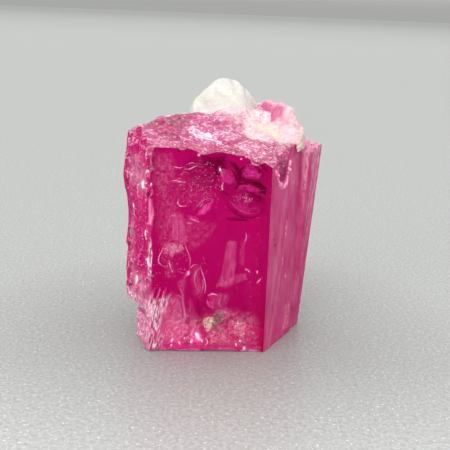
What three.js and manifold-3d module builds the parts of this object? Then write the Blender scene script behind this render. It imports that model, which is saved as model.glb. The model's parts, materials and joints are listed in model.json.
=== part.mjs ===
// Red beryl crystal with remains of its host rock. All sizes in mm.
// X runs to the right, Y away from the clear front face, Z up; the foot stands on z = 0.
import * as THREE from 'three';
import { mergeVertices } from 'three/addons/utils/BufferGeometryUtils.js';
import Module from 'manifold-3d';

// ---- the six-sided prism, seen from above ----
const FRONT_TURN = 4.5;        // degrees from X to the front face
const FRONT_SIDE = 4.23;
const RIGHT_SIDE = 2.54;
const BACK_RIGHT_SIDE = 2.75;
const LEFT_SIDE = 2.16;
const FRONT_RIGHT_CORNER = [1.67, -2.2];
const PRISM_TOP = 10;          // taller than the crystal, so that the break cuts it everywhere
const SKY = 12;                // well above everything

// ---- the broken top: heights of the crystal at points across it, [x, y, z] ----
const TOP_HEIGHTS = [
  // along the upper edge of the front face, left to right
  [-2.55, -2.53, 7.4], [-1.95, -2.5, 7.38], [-1.35, -2.44, 7.4], [-0.66, -2.38, 7.14],
  [-0.36, -2.36, 7.28], [0.34, -2.3, 7.2], [1.24, -2.23, 6.98], [1.67, -2.2, 6.75],
  // up the right face to its back corner
  [2.0, -1.5, 6.95], [2.4, -0.7, 7.2], [2.7, -0.05, 7.55],
  // halfway up the slope behind the front face
  [-1.44, -1.4, 7.85], [-0.8, -1.4, 7.75], [-0.38, -1.7, 7.58], [0.85, -1.0, 7.62],
  [1.56, -1.0, 7.66], [2.2, -0.6, 7.55],
  // the ridge, from the left corner towards the back right
  [-3.5, -0.95, 7.5], [-3.0, -1.15, 7.98], [-2.1, -0.75, 8.2], [-1.35, -0.7, 8.38],
  [-0.9, -0.65, 8.45], [0.05, -0.2, 8.5], [0.5, 0.35, 8.5],
  // the right shoulder, under the crust
  [1.7, 0.4, 7.95], [2.5, 0.15, 7.75], [2.2, 0.75, 8.15], [1.3, 1.2, 8.5], [1.9, 1.1, 8.3],
  // the back edge
  [1.2, 2.3, 8.35], [-0.5, 2.2, 8.2], [-2.2, 2.1, 7.9], [-2.9, 0.4, 7.75], [-1.6, 1.0, 8.1],
];
const TOP_ROUGH = { seed: 11, wave: 1.5, height: 0.075 };
const TOP_AREA = { x0: -4.4, x1: 3.6, y0: -3.2, y1: 3.2 };
const TOP_CELL = 0.24;
const TOP_BLEND = { near: 0.02, power: 1.6 };  // how the height points are blended

// ---- the thin parallel growth on the back right edge ----
const GROWTH_FOOT = { x: 2.41, y: 1.0, radius: 0.72 };
const GROWTH_HEAD = { x: 2.76, y: 1.22, radius: 1.12 };
const GROWTH_HEIGHT = 7.18;
const GROWTH_ROUGH = { seed: 23, wave: 0.9, height: 0.12 };
const GROWTH_AREA = { x0: 1.2, x1: 5, y0: -0.6, y1: 3 };

// ---- the rough left side: how far it is broken back at each height, [z, depth] ----
const LEFT_DEPTHS = [
  [-0.5, 0.4], [0, 0.44], [0.2, 0.62], [0.4, 0.86], [0.75, 1.02], [1.05, 1.06], [1.14, 1.0],
  [1.32, 0.3], [1.5, 0.22], [1.8, 0.14], [2.8, 0.22], [3.5, 0.22], [4.4, 0.32], [5.3, 0.22],
  [6.0, 0.05], [6.7, 0.02], [7.1, 0.13], [7.7, 0.25], [9, 0.4],
];
const LEFT_LEAST = 0.03;       // the least that is broken away
const LEFT_COLUMNS = 6;        // upright steps across the left side
const LEFT_STEP = 0.16;
const LEFT_CHANGES = { from: 1.5, over: 5 };   // heights where the steps change
const LEFT_FULL = 1;           // share of the side's width where the full depth is reached
const LEFT_ROUGH = { seed: 31, wave: 0.8, height: 0.05, drawnOut: 0.45 };
const LEFT_AREA = { x0: -0.5, x1: 9, y0: -0.35, y1: 3.2 };
const LEFT_OUTSIDE = 1.5;
const LEFT_CELL = 0.17;

// ---- chips: flattened balls taken off the edges, [x, y, z], [half sizes], turn about Z ----
const CHIPS = {
  frontFoot: { at: [0.2, -2.42, -0.16], half: [0.75, 0.5, 0.34], turn: 4 },
  frontFootLeft: { at: [-1.0, -2.6, -0.12], half: [0.4, 0.3, 0.2], turn: 10 },
  leftFootCorner: { at: [-2.7, -2.82, 0.85], half: [0.6, 0.4, 0.85], turn: -8 },
  leftFootTop: { at: [-2.5, -2.82, 1.65], half: [0.36, 0.38, 0.42], turn: 12 },
  leftEdgeMiddle: { at: [-2.78, -2.76, 3.1], half: [0.34, 0.34, 0.8], turn: 0 },
  leftEdgeUpper: { at: [-2.8, -2.74, 5.2], half: [0.32, 0.3, 0.6], turn: 0 },
  leftCornerTop: { at: [-3.88, -0.74, 7.75], half: [0.36, 0.5, 0.52], turn: 0 },
  leftTopCorner: { at: [-2.9, -2.6, 7.5], half: [0.5, 0.5, 0.55], turn: 0 },
  rightFootCorner: { at: [3.3, 0.3, -0.2], half: [0.4, 0.5, 0.3], turn: -30 },
  frontTopMiddle: { at: [-0.7, -2.72, 7.35], half: [0.3, 0.42, 0.3], turn: 0 },
  backFoot: { at: [-1.2, 2.5, -0.1], half: [0.9, 0.5, 0.4], turn: 5 },
  backEdge: { at: [1.45, 2.6, 3.4], half: [0.45, 0.45, 1.1], turn: 20 },
};
const CHIP_SEGMENTS = [14, 10];

// ---- the pointed chip at the top of the right face ----
const NOTCH = { along: 0.8, tipZ: 5.86, topZ: 7.7, halfWidth: 0.95, depth: 0.45 };

// ---- white lump of host rock at the top and back ----
const LUMP_CENTRE = [-0.06, 1.45, 8.15];
const LUMP_HALF = [1.42, 0.98, 1.44];
const LUMP_POINTED = 0.3;      // how much the upper half draws in
const LUMP_FLATTENED = 0.55;   // how deep the lower half is
const LUMP_ROUGH = { seed: 47, wave: 0.9, height: 0.08 };
const LUMP_SPLITS = 6;

// ---- cream crust on the right shoulder: low mounds on the broken top ----
const CRUST_MOUNDS = [
  { x: 1.45, y: -0.3, rx: 0.9, ry: 0.72, height: 0.2 },
  { x: 2.0, y: 0.05, rx: 0.6, ry: 0.5, height: 0.3 },
  { x: 2.45, y: 0.12, rx: 0.5, ry: 0.55, height: 0.5 },
  { x: 2.2, y: 0.8, rx: 0.6, ry: 0.6, height: 0.56 },
  { x: 1.85, y: 1.35, rx: 0.62, ry: 0.5, height: 0.5 },
  { x: 1.3, y: 1.75, rx: 0.6, ry: 0.5, height: 0.32 },
];
const CRUST_LIP = { out: 0.13, down: 0.28 };   // how far it laps over the crystal's edge
const CRUST_ROUGH = { seed: 59, wave: 0.5, height: 0.07 };
const CRUST_AREA = { x0: 0.2, x1: 3.4, y0: -1.3, y1: 2.7 };
const CRUST_DOME = 0.8;        // how far a mound falls off at its edge
const CRUST_BASE = 6;          // well below the crust
const CRUST_CORNERS = 9;
const CRUST_CELL = 0.15;
const ROCK_GAP = 0.04;         // free space left between rock and crystal
const SHORTEST_EDGE = 0.001;   // shorter edges are closed up

const wasm = await Module();
wasm.setup();

/** Seeded random numbers between 0 and 1. */
function randomSource(seed) {
  let state = seed;
  return () => {
    state = (state * 1664525 + 1013904223) % 4294967296;
    return state / 4294967296;
  };
}

/** A rough, faceted surface: folded waves in random directions, between -height and height. */
function faceted({ seed, wave, height }) {
  const random = randomSource(seed);
  const waves = Array.from({ length: 7 }, (_, i) => {
    const size = wave / (1 + 0.6 * i);
    return { angle: random() * Math.PI, shift: random(), size, weight: size / wave };
  });
  const total = waves.reduce((sum, w) => sum + w.weight, 0);
  return (a, b) => {
    const heights = waves.map((w) => {
      const along = (a * Math.cos(w.angle) + b * Math.sin(w.angle)) / w.size + w.shift;
      return w.weight * (4 * Math.abs(along - Math.floor(along) - 0.5) - 1);
    });
    return height * heights.reduce((sum, h) => sum + h, 0) / total;
  };
}

/** Height at (x, y) from scattered [x, y, z] points, the nearest ones counting most. */
function heightFrom(points) {
  return (x, y) => {
    let sum = 0;
    let weights = 0;
    for (const [px, py, pz] of points) {
      const away = (x - px) ** 2 + (y - py) ** 2;
      const weight = 1 / (away + TOP_BLEND.near) ** TOP_BLEND.power;
      sum += weight * pz;
      weights += weight;
    }
    return sum / weights;
  };
}

/** Straight-line reading of a table of [key, value] rows. */
function readTable(rows, key) {
  const next = rows.findIndex((row) => row[0] >= key);
  if (next === 0) return rows[0][1];
  if (next < 0) return rows[rows.length - 1][1];
  const [k0, v0] = rows[next - 1];
  const [k1, v1] = rows[next];
  return v0 + (v1 - v0) * (key - k0) / (k1 - k0);
}

/** Closed three.js geometry to a solid. */
function solid(geometry) {
  const bare = geometry.clone();
  for (const name of Object.keys(bare.attributes)) {
    if (name !== 'position') bare.deleteAttribute(name);
  }
  const merged = mergeVertices(bare, 1e-4);
  const mesh = new wasm.Mesh({
    numProp: 3,
    vertProperties: new Float32Array(merged.attributes.position.array),
    triVerts: new Uint32Array(merged.index.array),
  });
  return new wasm.Manifold(mesh);
}

/** Solid to a named mesh with its own plain material, without its shortest edges. */
function piece(body, name, look) {
  const mesh = body.asOriginal().simplify(SHORTEST_EDGE).getMesh();
  const geometry = new THREE.BufferGeometry();
  geometry.setAttribute('position', new THREE.BufferAttribute(mesh.vertProperties, 3));
  geometry.setIndex(new THREE.BufferAttribute(mesh.triVerts, 1));
  geometry.computeVertexNormals();
  const result = new THREE.Mesh(geometry, new THREE.MeshStandardMaterial(look));
  result.name = name;
  return result;
}

/** Unit vector at an angle in degrees in the XY plane. */
function heading(degrees) {
  const angle = THREE.MathUtils.degToRad(degrees);
  return new THREE.Vector2(Math.cos(angle), Math.sin(angle));
}

/** The six corners of the prism, from the front left corner round to the left. */
function prismCorners(grow) {
  const backSide = FRONT_SIDE + LEFT_SIDE - BACK_RIGHT_SIDE;
  const backLeftSide = RIGHT_SIDE + BACK_RIGHT_SIDE - LEFT_SIDE;
  const sides = [FRONT_SIDE, RIGHT_SIDE, BACK_RIGHT_SIDE, backSide, backLeftSide];
  const corner = new THREE.Vector2(...FRONT_RIGHT_CORNER);
  corner.addScaledVector(heading(FRONT_TURN), -FRONT_SIDE);
  const corners = [corner.clone()];
  sides.forEach((side, i) => {
    corner.addScaledVector(heading(FRONT_TURN + 60 * i), side);
    corners.push(corner.clone());
  });
  const outward = grow / Math.cos(Math.PI / 6);
  return corners.map((c, i) => c.addScaledVector(heading(FRONT_TURN - 120 + 60 * i), outward));
}

/** Upright prism over a closed outline. */
function uprightPrism(corners, bottom, top) {
  const geometry = new THREE.ExtrudeGeometry(new THREE.Shape(corners), {
    depth: top - bottom,
    bevelEnabled: false,
  });
  geometry.translate(0, 0, bottom);
  return solid(geometry);
}

/**
 * Closed block over a rectangle of its own XY plane, between the surfaces `lower` and `upper`.
 * `place` puts a point of the block in the object, keeping the block right-handed.
 */
function roughBlock(range, cell, lower, upper, place = (x, y, z) => [x, y, z]) {
  const across = Math.round((range.x1 - range.x0) / cell);
  const along = Math.round((range.y1 - range.y0) / cell);
  const geometry = new THREE.BoxGeometry(1, 1, 1, across, along, 1);
  const position = geometry.attributes.position;
  const point = new THREE.Vector3();
  for (let i = 0; i < position.count; i += 1) {
    point.fromBufferAttribute(position, i);
    const x = range.x0 + (point.x + 0.5) * (range.x1 - range.x0);
    const y = range.y0 + (point.y + 0.5) * (range.y1 - range.y0);
    const z = point.z < 0 ? lower(x, y) : upper(x, y);
    position.setXYZ(i, ...place(x, y, z));
  }
  return solid(geometry);
}

/** Height of the crystal's broken top, raised by `grow`. */
function brokenTop(grow) {
  const form = heightFrom(TOP_HEIGHTS);
  const rough = faceted(TOP_ROUGH);
  return (x, y) => form(x, y) + rough(x, y) + grow;
}

/** The main prism with its broken top. */
function mainPrism(grow) {
  const above = roughBlock(TOP_AREA, TOP_CELL, brokenTop(grow), () => SKY);
  return uprightPrism(prismCorners(grow), 0, PRISM_TOP).subtract(above);
}

/** The tapering growth beside the back right edge, with a ragged head. */
function sideGrowth(grow) {
  const hexagon = new THREE.CylinderGeometry(1, 1, 1, 6, 1);
  const position = hexagon.attributes.position;
  const corner = new THREE.Vector3();
  for (let i = 0; i < position.count; i += 1) {
    corner.fromBufferAttribute(position, i);
    const end = corner.y > 0 ? GROWTH_HEAD : GROWTH_FOOT;
    const flat = new THREE.Vector2(corner.z, corner.x);
    flat.rotateAround(new THREE.Vector2(), THREE.MathUtils.degToRad(FRONT_TURN));
    flat.multiplyScalar(end.radius + grow);
    position.setXYZ(i, end.x + flat.x, end.y + flat.y, corner.y > 0 ? PRISM_TOP : 0);
  }
  const rough = faceted(GROWTH_ROUGH);
  const head = (x, y) => GROWTH_HEIGHT + grow + rough(x, y);
  const above = roughBlock(GROWTH_AREA, TOP_CELL, head, () => SKY);
  return solid(hexagon).subtract(above);
}

/** What has broken away from the left side: upright steps and the notch at the foot. */
function leftBreak() {
  const start = prismCorners(0)[0];
  const along = heading(FRONT_TURN + 120);
  const outward = heading(FRONT_TURN + 210);
  const random = randomSource(5);
  const columns = Array.from({ length: LEFT_COLUMNS }, () => ({
    depth: LEFT_STEP * random(),
    breakZ: LEFT_CHANGES.from + LEFT_CHANGES.over * random(),
    change: LEFT_STEP * (random() - 0.5),
  }));
  const rough = faceted(LEFT_ROUGH);
  const surface = (z, u) => {
    const place = THREE.MathUtils.clamp(u / LEFT_SIDE, 0, 0.999);
    const column = columns[Math.floor(place * LEFT_COLUMNS)];
    const step = column.depth + (z > column.breakZ ? column.change : 0);
    const share = THREE.MathUtils.smoothstep(u, 0, LEFT_FULL * LEFT_SIDE);
    const worn = LEFT_LEAST + rough(u, LEFT_ROUGH.drawnOut * z);
    return -(share * readTable(LEFT_DEPTHS, z) + step + worn);
  };
  const place = (z, u, depth) => {
    const spot = start.clone().addScaledVector(along, u).addScaledVector(outward, depth);
    return [spot.x, spot.y, z];
  };
  return roughBlock(LEFT_AREA, LEFT_CELL, surface, () => LEFT_OUTSIDE, place);
}

/** A chip: a flattened ball of few facets. */
function chip({ at, half, turn }) {
  const geometry = new THREE.SphereGeometry(1, ...CHIP_SEGMENTS);
  geometry.scale(...half);
  geometry.rotateZ(THREE.MathUtils.degToRad(turn));
  geometry.translate(...at);
  return solid(geometry);
}

/** The pointed chip in the right face: a thin pyramid with its tip down. */
function notch() {
  const foot = new THREE.Vector2(...FRONT_RIGHT_CORNER);
  const along = heading(FRONT_TURN + 60);
  const outward = heading(FRONT_TURN - 30);
  const geometry = new THREE.ConeGeometry(1, NOTCH.topZ - NOTCH.tipZ, 4, 1);
  geometry.rotateX(-Math.PI / 2);
  geometry.translate(0, 0, (NOTCH.topZ + NOTCH.tipZ) / 2);
  const position = geometry.attributes.position;
  for (let i = 0; i < position.count; i += 1) {
    const sideways = NOTCH.along - NOTCH.halfWidth * position.getX(i);
    const deep = NOTCH.depth * position.getY(i);
    const spot = foot.clone().addScaledVector(along, sideways).addScaledVector(outward, deep);
    position.setXYZ(i, spot.x, spot.y, position.getZ(i));
  }
  return solid(geometry);
}

/** The whole crystal, every face moved out by `grow`. */
function crystal(grow) {
  const whole = mainPrism(grow).add(sideGrowth(grow)).subtract(leftBreak());
  return Object.values(CHIPS).reduce((body, c) => body.subtract(chip(c)), whole);
}

/** The white lump: an uneven ball, drawn in above and flat below, cut to sit on the crystal. */
function whiteLump(seat) {
  const geometry = new THREE.IcosahedronGeometry(1, LUMP_SPLITS);
  const position = geometry.attributes.position;
  const rough = faceted(LUMP_ROUGH);
  const point = new THREE.Vector3();
  for (let i = 0; i < position.count; i += 1) {
    point.fromBufferAttribute(position, i);
    const swell = 1 + rough(point.x + 0.6 * point.y, point.z - 0.4 * point.y);
    const drawnIn = 1 - LUMP_POINTED * Math.max(0, point.z);
    const flat = point.z < 0 ? LUMP_FLATTENED : 1;
    point.multiply(new THREE.Vector3(drawnIn, drawnIn, flat)).multiplyScalar(swell);
    point.multiply(new THREE.Vector3(...LUMP_HALF)).add(new THREE.Vector3(...LUMP_CENTRE));
    position.setXYZ(i, point.x, point.y, point.z);
  }
  return solid(geometry).subtract(seat);
}

/** Outline of one mound, seen from above. */
function moundOutline(mound) {
  const outline = new THREE.Shape();
  outline.absellipse(mound.x, mound.y, mound.rx, mound.ry, 0, 2 * Math.PI);
  return outline.getPoints(CRUST_CORNERS).slice(0, -1);
}

/** The cream crust: mounds over the broken top, cut to sit on the crystal. */
function creamCrust(seat, lump) {
  const top = brokenTop(0);
  const rough = faceted(CRUST_ROUGH);
  const skin = (x, y) => {
    const mounds = CRUST_MOUNDS.map((m) => {
      const away = ((x - m.x) / m.rx) ** 2 + ((y - m.y) / m.ry) ** 2;
      return m.height * (1 - CRUST_DOME * away * away);
    });
    return top(x, y) + Math.max(0, ...mounds) + rough(x, y);
  };
  const underside = (x, y) => top(x, y) - CRUST_LIP.down;
  const layer = roughBlock(CRUST_AREA, CRUST_CELL, underside, skin);
  const outlines = CRUST_MOUNDS.map((m) => uprightPrism(moundOutline(m), CRUST_BASE, SKY));
  const footprint = outlines.reduce((sum, next) => sum.add(next));
  const edge = uprightPrism(prismCorners(CRUST_LIP.out), CRUST_BASE, SKY);
  const kept = layer.intersect(footprint).intersect(edge);
  return kept.subtract(seat).subtract(lump.translate(ROCK_GAP, -ROCK_GAP, ROCK_GAP)).subtract(lump);
}

/** The largest of a body's separate parts. */
function largest(body) {
  return body.decompose().sort((a, b) => b.volume() - a.volume())[0];
}

const beryl = largest(crystal(0).subtract(notch()));
const seat = crystal(ROCK_GAP);
const lump = largest(whiteLump(seat));
const crust = largest(creamCrust(seat, lump));

const group = new THREE.Group();
group.name = 'red_beryl_crystal';
group.add(
  piece(beryl, 'beryl_crystal', { color: 0xb5085a, roughness: 0.12, metalness: 0 }),
  piece(lump, 'white_matrix_cap', { color: 0xefebe0, roughness: 0.95, metalness: 0 }),
  piece(crust, 'cream_crust', { color: 0xf0d8cc, roughness: 0.95, metalness: 0 }),
);

// stand the object on z = 0 with the middle of its outline over the origin
const box = new THREE.Box3().setFromObject(group);
const middle = box.getCenter(new THREE.Vector3());
for (const mesh of group.children) mesh.geometry.translate(-middle.x, -middle.y, -box.min.z);

export default group;
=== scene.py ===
"""Looks of a natural red beryl crystal with remains of its host rock, on a pale table."""

import json
import logging
import math
import random
from collections.abc import Callable, Iterator
from contextlib import contextmanager
from dataclasses import dataclass, field, replace
from enum import Enum
from functools import cached_property, reduce

import bpy
from bpy.types import ID, Material, Node, NodeSocket, Object
from mathutils import Matrix, Vector

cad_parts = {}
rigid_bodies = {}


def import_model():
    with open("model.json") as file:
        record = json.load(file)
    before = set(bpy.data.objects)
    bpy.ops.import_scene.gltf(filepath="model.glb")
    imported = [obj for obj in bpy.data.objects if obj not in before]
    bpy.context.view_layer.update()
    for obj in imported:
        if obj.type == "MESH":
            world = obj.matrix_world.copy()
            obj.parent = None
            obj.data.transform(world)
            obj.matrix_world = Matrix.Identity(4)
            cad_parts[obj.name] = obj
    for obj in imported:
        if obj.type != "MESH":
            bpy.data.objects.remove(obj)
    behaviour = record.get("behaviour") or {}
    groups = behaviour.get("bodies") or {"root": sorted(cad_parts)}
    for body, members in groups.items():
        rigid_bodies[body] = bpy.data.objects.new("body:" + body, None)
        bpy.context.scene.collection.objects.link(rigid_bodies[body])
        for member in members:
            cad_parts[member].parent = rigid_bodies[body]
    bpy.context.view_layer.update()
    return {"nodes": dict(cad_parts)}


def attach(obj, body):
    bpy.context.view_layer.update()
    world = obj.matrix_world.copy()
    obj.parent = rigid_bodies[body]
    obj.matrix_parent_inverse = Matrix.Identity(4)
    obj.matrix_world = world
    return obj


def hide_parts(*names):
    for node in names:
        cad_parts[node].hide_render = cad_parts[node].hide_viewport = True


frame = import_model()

Pair = tuple[float, float]
Triple = tuple[float, float, float]
Outline = list[Pair]

MM = 0.001
FLAT_INSET = 0.02
ORIGIN = (0.0, 0.0, 0.0)
EVEN = (1.0, 1.0, 1.0)
RIGHTWARD = Vector((1.0, 0.0, 0.0))
BACKWARD = Vector((0.0, 1.0, 0.0))
UP = Vector((0.0, 0.0, 1.0))
OVAL_CORNERS = 10
BERYL_SMOOTH_ANGLE = 28.0
ROCK_SMOOTH_ANGLE = 40.0
FROST_MARKS = ("white", "stained", "creamy")
ROCK_MARKS = ("rosy", "creamy")
log = logging.getLogger("beryl")


# ---------------------------------------------------------------- small helpers


def deselect() -> None:
    """Deselects every object."""
    bpy.ops.object.select_all(action="DESELECT")


def activate(piece: Object) -> None:
    """Makes a piece the only selected and the active object."""
    deselect()
    piece.select_set(True)
    bpy.context.view_layer.objects.active = piece


def add(operator: Callable, location: Triple | Vector = ORIGIN, **settings: object) -> Object:
    """Adds a primitive with one of Blender's operators and returns it."""
    deselect()
    operator(location=location, **settings)
    return bpy.context.view_layer.objects.active


@contextmanager
def editing(piece: Object) -> Iterator[None]:
    """Opens a piece for editing with all of it selected, and closes it again."""
    activate(piece)
    bpy.ops.object.mode_set(mode="EDIT")
    bpy.ops.mesh.select_all(action="SELECT")
    yield
    bpy.ops.object.mode_set(mode="OBJECT")


def apply_place(piece: Object) -> None:
    """Puts a piece's place, turn and size into its mesh."""
    activate(piece)
    bpy.ops.object.transform_apply(location=True, rotation=True, scale=True)


def modify(piece: Object, kind: str, **settings: object) -> None:
    """Gives a piece a modifier with its settings and applies it."""
    modifier = piece.modifiers.new(kind.lower(), kind)
    for key, value in settings.items():
        setattr(modifier, key, value)
    activate(piece)
    bpy.ops.object.modifier_apply(modifier=modifier.name)


def remesh(piece: Object, cell: float) -> None:
    """Gives a closed piece an even fine mesh with edges of one length."""
    modify(piece, "REMESH", mode="VOXEL", voxel_size=cell, adaptivity=0.0)


class Combination(Enum):
    """Ways to combine two solids."""

    JOIN = "UNION"
    CUT = "DIFFERENCE"
    COMMON = "INTERSECT"


def combine(piece: Object, other: Object, how: Combination) -> None:
    """Combines a closed piece with another, which is used up."""
    modify(piece, "BOOLEAN", operation=how.value, solver="MANIFOLD", object=other)
    bpy.data.objects.remove(other, do_unlink=True)


class Relief(Enum):
    """Patterns that roughen a surface."""

    WAVES = "CLOUDS"
    SHELLS = "VORONOI"


def roughen(piece: Object, kind: Relief, size: float, height: float, group: str = "", **more: object) -> None:
    """Roughens a piece with a procedural pattern.

    Args:
        piece: mesh object with an even fine mesh.
        kind: the pattern.
        size: size of one feature.
        height: height of the relief.
        group: vertex group that limits it, if any.
        more: further settings of the pattern.
    """
    pattern = bpy.data.textures.new(f"{piece.name}_{kind.value.lower()}", type=kind.value)
    pattern.noise_scale = size
    for key, value in more.items():
        setattr(pattern, key, value)
    modify(piece, "DISPLACE", texture=pattern, texture_coords="LOCAL", strength=height, vertex_group=group)


def rename(piece: Object, name: str) -> None:
    """Gives a piece and its mesh a name."""
    piece.name = name
    piece.data.name = name


def to_scene(name: str, data: ID) -> Object:
    """Puts new data into the scene as an object."""
    piece = bpy.data.objects.new(name, data)
    bpy.context.scene.collection.objects.link(piece)
    return piece


def duplicate(piece: Object, name: str) -> Object:
    """Copies a piece with its mesh under a new name."""
    activate(piece)
    bpy.ops.object.duplicate()
    copy = bpy.context.view_layer.objects.active
    rename(copy, name)
    return copy


def join(pieces: list[Object], name: str) -> Object:
    """Joins several mesh objects into the first of them, which gets a new name."""
    activate(pieces[0])
    for piece in pieces[1:]:
        piece.select_set(True)
    bpy.ops.object.join()
    rename(pieces[0], name)
    return pieces[0]


def copy_of_node(node: str, name: str) -> Object:
    """Copies a frame node into a loose piece in millimetres with its doubles merged.

    Args:
        node: name of the frame node.
        name: name of the copy.

    Returns:
        The copy.
    """
    piece = duplicate(frame["nodes"][node], name)
    activate(piece)
    bpy.ops.object.parent_clear(type="CLEAR_KEEP_TRANSFORM")
    piece.data.materials.clear()
    piece.scale = (1 / MM, 1 / MM, 1 / MM)
    apply_place(piece)
    with editing(piece):
        bpy.ops.mesh.remove_doubles(threshold=1e-4)
    return piece


def store(piece: Object, name: str, values: list, kind: str = "FLOAT", domain: str = "POINT") -> None:
    """Stores a number for each point or face of a piece in a new attribute."""
    piece.data.attributes.new(name, kind, domain).data.foreach_set("value", values)


def store_crests(piece: Object) -> None:
    """Stores how sharply the surface bulges at each point in the attribute 'crest'."""
    mesh = piece.data
    rise = [0.0] * len(mesh.vertices)
    count = [0] * len(mesh.vertices)
    for edge in mesh.edges:
        one, two = edge.vertices
        step = mesh.vertices[two].co - mesh.vertices[one].co
        length = max(step.length, 1e-6)
        rise[one] -= step.dot(mesh.vertices[one].normal) / length
        rise[two] += step.dot(mesh.vertices[two].normal) / length
        count[one] += 1
        count[two] += 1
    store(piece, "crest", [r / max(1, c) for r, c in zip(rise, count)])


def finish(
    piece: Object, material: Material, slot: str = "beryl", node: str = "", smooth: float = 0.0
) -> None:
    """Brings a piece to its real size, dresses it and gives it its place in the frame.

    Args:
        piece: mesh object in millimetres.
        material: its material.
        slot: the record's material slot; not used.
        node: frame node that it stands for, if any.
        smooth: angle in degrees under which its edges look round, if any do.
    """
    piece.scale = (MM, MM, MM)
    apply_place(piece)
    if smooth:
        bpy.ops.object.shade_smooth_by_angle(angle=math.radians(smooth))
    piece.data.materials.clear()
    piece.data.materials.append(material)
    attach(piece, "root")
    if node:
        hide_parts(node)
    log.info("%s: %d faces", piece.name, len(piece.data.polygons))


def clip(value: float) -> float:
    """Keeps a number between 0 and 1."""
    return min(1.0, max(0.0, value))


def heading(degrees: float) -> Vector:
    """Unit vector at an angle in the horizontal plane."""
    return Vector((math.cos(math.radians(degrees)), math.sin(math.radians(degrees)), 0.0))


# ---------------------------------------------------------------- the crystal's form


@dataclass(frozen=True)
class PrismForm:
    """The six-sided prism that the crystal's sides lie on, in millimetres."""

    turn: float = 4.5
    front: float = 4.23
    right: float = 2.54
    back_right: float = 2.75
    left: float = 2.16
    corner: Pair = (1.6794, -2.1484)

    def along(self, side: int) -> Vector:
        """Direction that a side runs in, seen from outside from left to right."""
        return heading(self.turn + 60 * side)

    def outward(self, side: int) -> Vector:
        """Direction that a side faces: 0 is the front, then round to the right."""
        return heading(self.turn - 90 + 60 * side)

    def between(self, one: int, two: int) -> Vector:
        """Direction halfway between those that two sides face."""
        return (self.outward(one) + self.outward(two)).normalized()

    def sharp_corners(self) -> list[Vector]:
        """Corners seen from above, from the front left round to the left."""
        back = self.front + self.left - self.back_right
        back_left = self.right + self.back_right - self.left
        spot = Vector((*self.corner, 0.0)) - self.along(0) * self.front
        spots = [spot.copy()]
        for i, side in enumerate((self.front, self.right, self.back_right, back, back_left)):
            spot = spot + self.along(i) * side
            spots.append(spot.copy())
        return spots

    def corners(self, insets: list[float]) -> list[Vector]:
        """Corners of the outline with each side moved inwards by its own amount.

        Args:
            insets: how far sides 0 to 5 move inwards.

        Returns:
            The six corners.
        """
        sharp = self.sharp_corners()
        reach = [sharp[i].dot(self.outward(i)) - insets[i] for i in range(6)]
        moved = []
        for i in range(6):
            one, two = self.outward(i - 1), self.outward(i)
            area = one.x * two.y - one.y * two.x
            x = (reach[i - 1] * two.y - reach[i] * one.y) / area
            y = (one.x * reach[i] - two.x * reach[i - 1]) / area
            moved.append(Vector((x, y, 0.0)))
        return moved

    def depths(self, spot: Vector) -> list[float]:
        """How far a point lies behind each of the six sides."""
        return [(c - spot).dot(self.outward(i)) for i, c in enumerate(self.sharp_corners())]


FORM = PrismForm()
FRONT_LEFT = FORM.sharp_corners()[0]
INTO_LEFT = FORM.along(2)


class Side(Enum):
    """Flat sides of the prism that small things are measured on."""

    FRONT = 0
    RIGHT = 1
    LEFT = 5

    def flat(self, spot: Vector) -> Pair:
        """Distance of a point from the side's left edge, and its height."""
        start = FORM.sharp_corners()[self.value]
        return (spot - start).dot(FORM.along(self.value)), spot.z

    def spot(self, along: float, height: float, depth: float = 0.0) -> Vector:
        """Point on or behind the side.

        Args:
            along: distance from the side's left edge.
            height: height above the foot.
            depth: distance behind the flat face.

        Returns:
            The point, in millimetres.
        """
        start = FORM.sharp_corners()[self.value]
        across = FORM.along(self.value) * along
        return start + across - FORM.outward(self.value) * (FLAT_INSET + depth) + Vector((0, 0, height))


def edges(outline: Outline) -> Iterator[tuple[Pair, Pair]]:
    """Both ends of each edge of a closed outline."""
    return zip(outline, [*outline[1:], outline[0]])


def edge_distance(place: Pair, outline: Outline) -> float:
    """Distance of a place from the nearest edge of an outline, positive inside it.

    Args:
        place: the place, on two axes.
        outline: corners of the closed outline, on the same axes.

    Returns:
        The distance.
    """
    x, y = place
    nearest = math.inf
    inside = False
    for (x0, y0), (x1, y1) in edges(outline):
        run, rise = x1 - x0, y1 - y0
        share = clip(((x - x0) * run + (y - y0) * rise) / max(run * run + rise * rise, 1e-12))
        nearest = min(nearest, math.hypot(x - x0 - share * run, y - y0 - share * rise))
        if (y0 > y) != (y1 > y) and x < x0 + (y - y0) * run / rise:
            inside = not inside
    return nearest if inside else -nearest


def outline_reach(angle: float, middle: list[float], outline: Outline) -> float:
    """Distance from the middle of an outline to its edge in one direction."""
    aim = (math.cos(angle), math.sin(angle))
    found = []
    for (x0, y0), (x1, y1) in edges(outline):
        run, rise = x1 - x0, y1 - y0
        across = aim[0] * rise - aim[1] * run
        if abs(across) > 1e-9:
            far = ((x0 - middle[0]) * rise - (y0 - middle[1]) * run) / across
            share = ((x0 - middle[0]) * aim[1] - (y0 - middle[1]) * aim[0]) / across
            if far > 0 and -1e-6 <= share <= 1 + 1e-6:
                found.append(far)
    return min(found, default=0.0)


def disc_place(spot: Vector) -> Pair:
    """Ring from 0 to 1 and angle of a point of a square grid of half size 1 that is drawn into a disc."""
    return max(abs(spot.x), abs(spot.y)), math.atan2(spot.y, spot.x)


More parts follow.
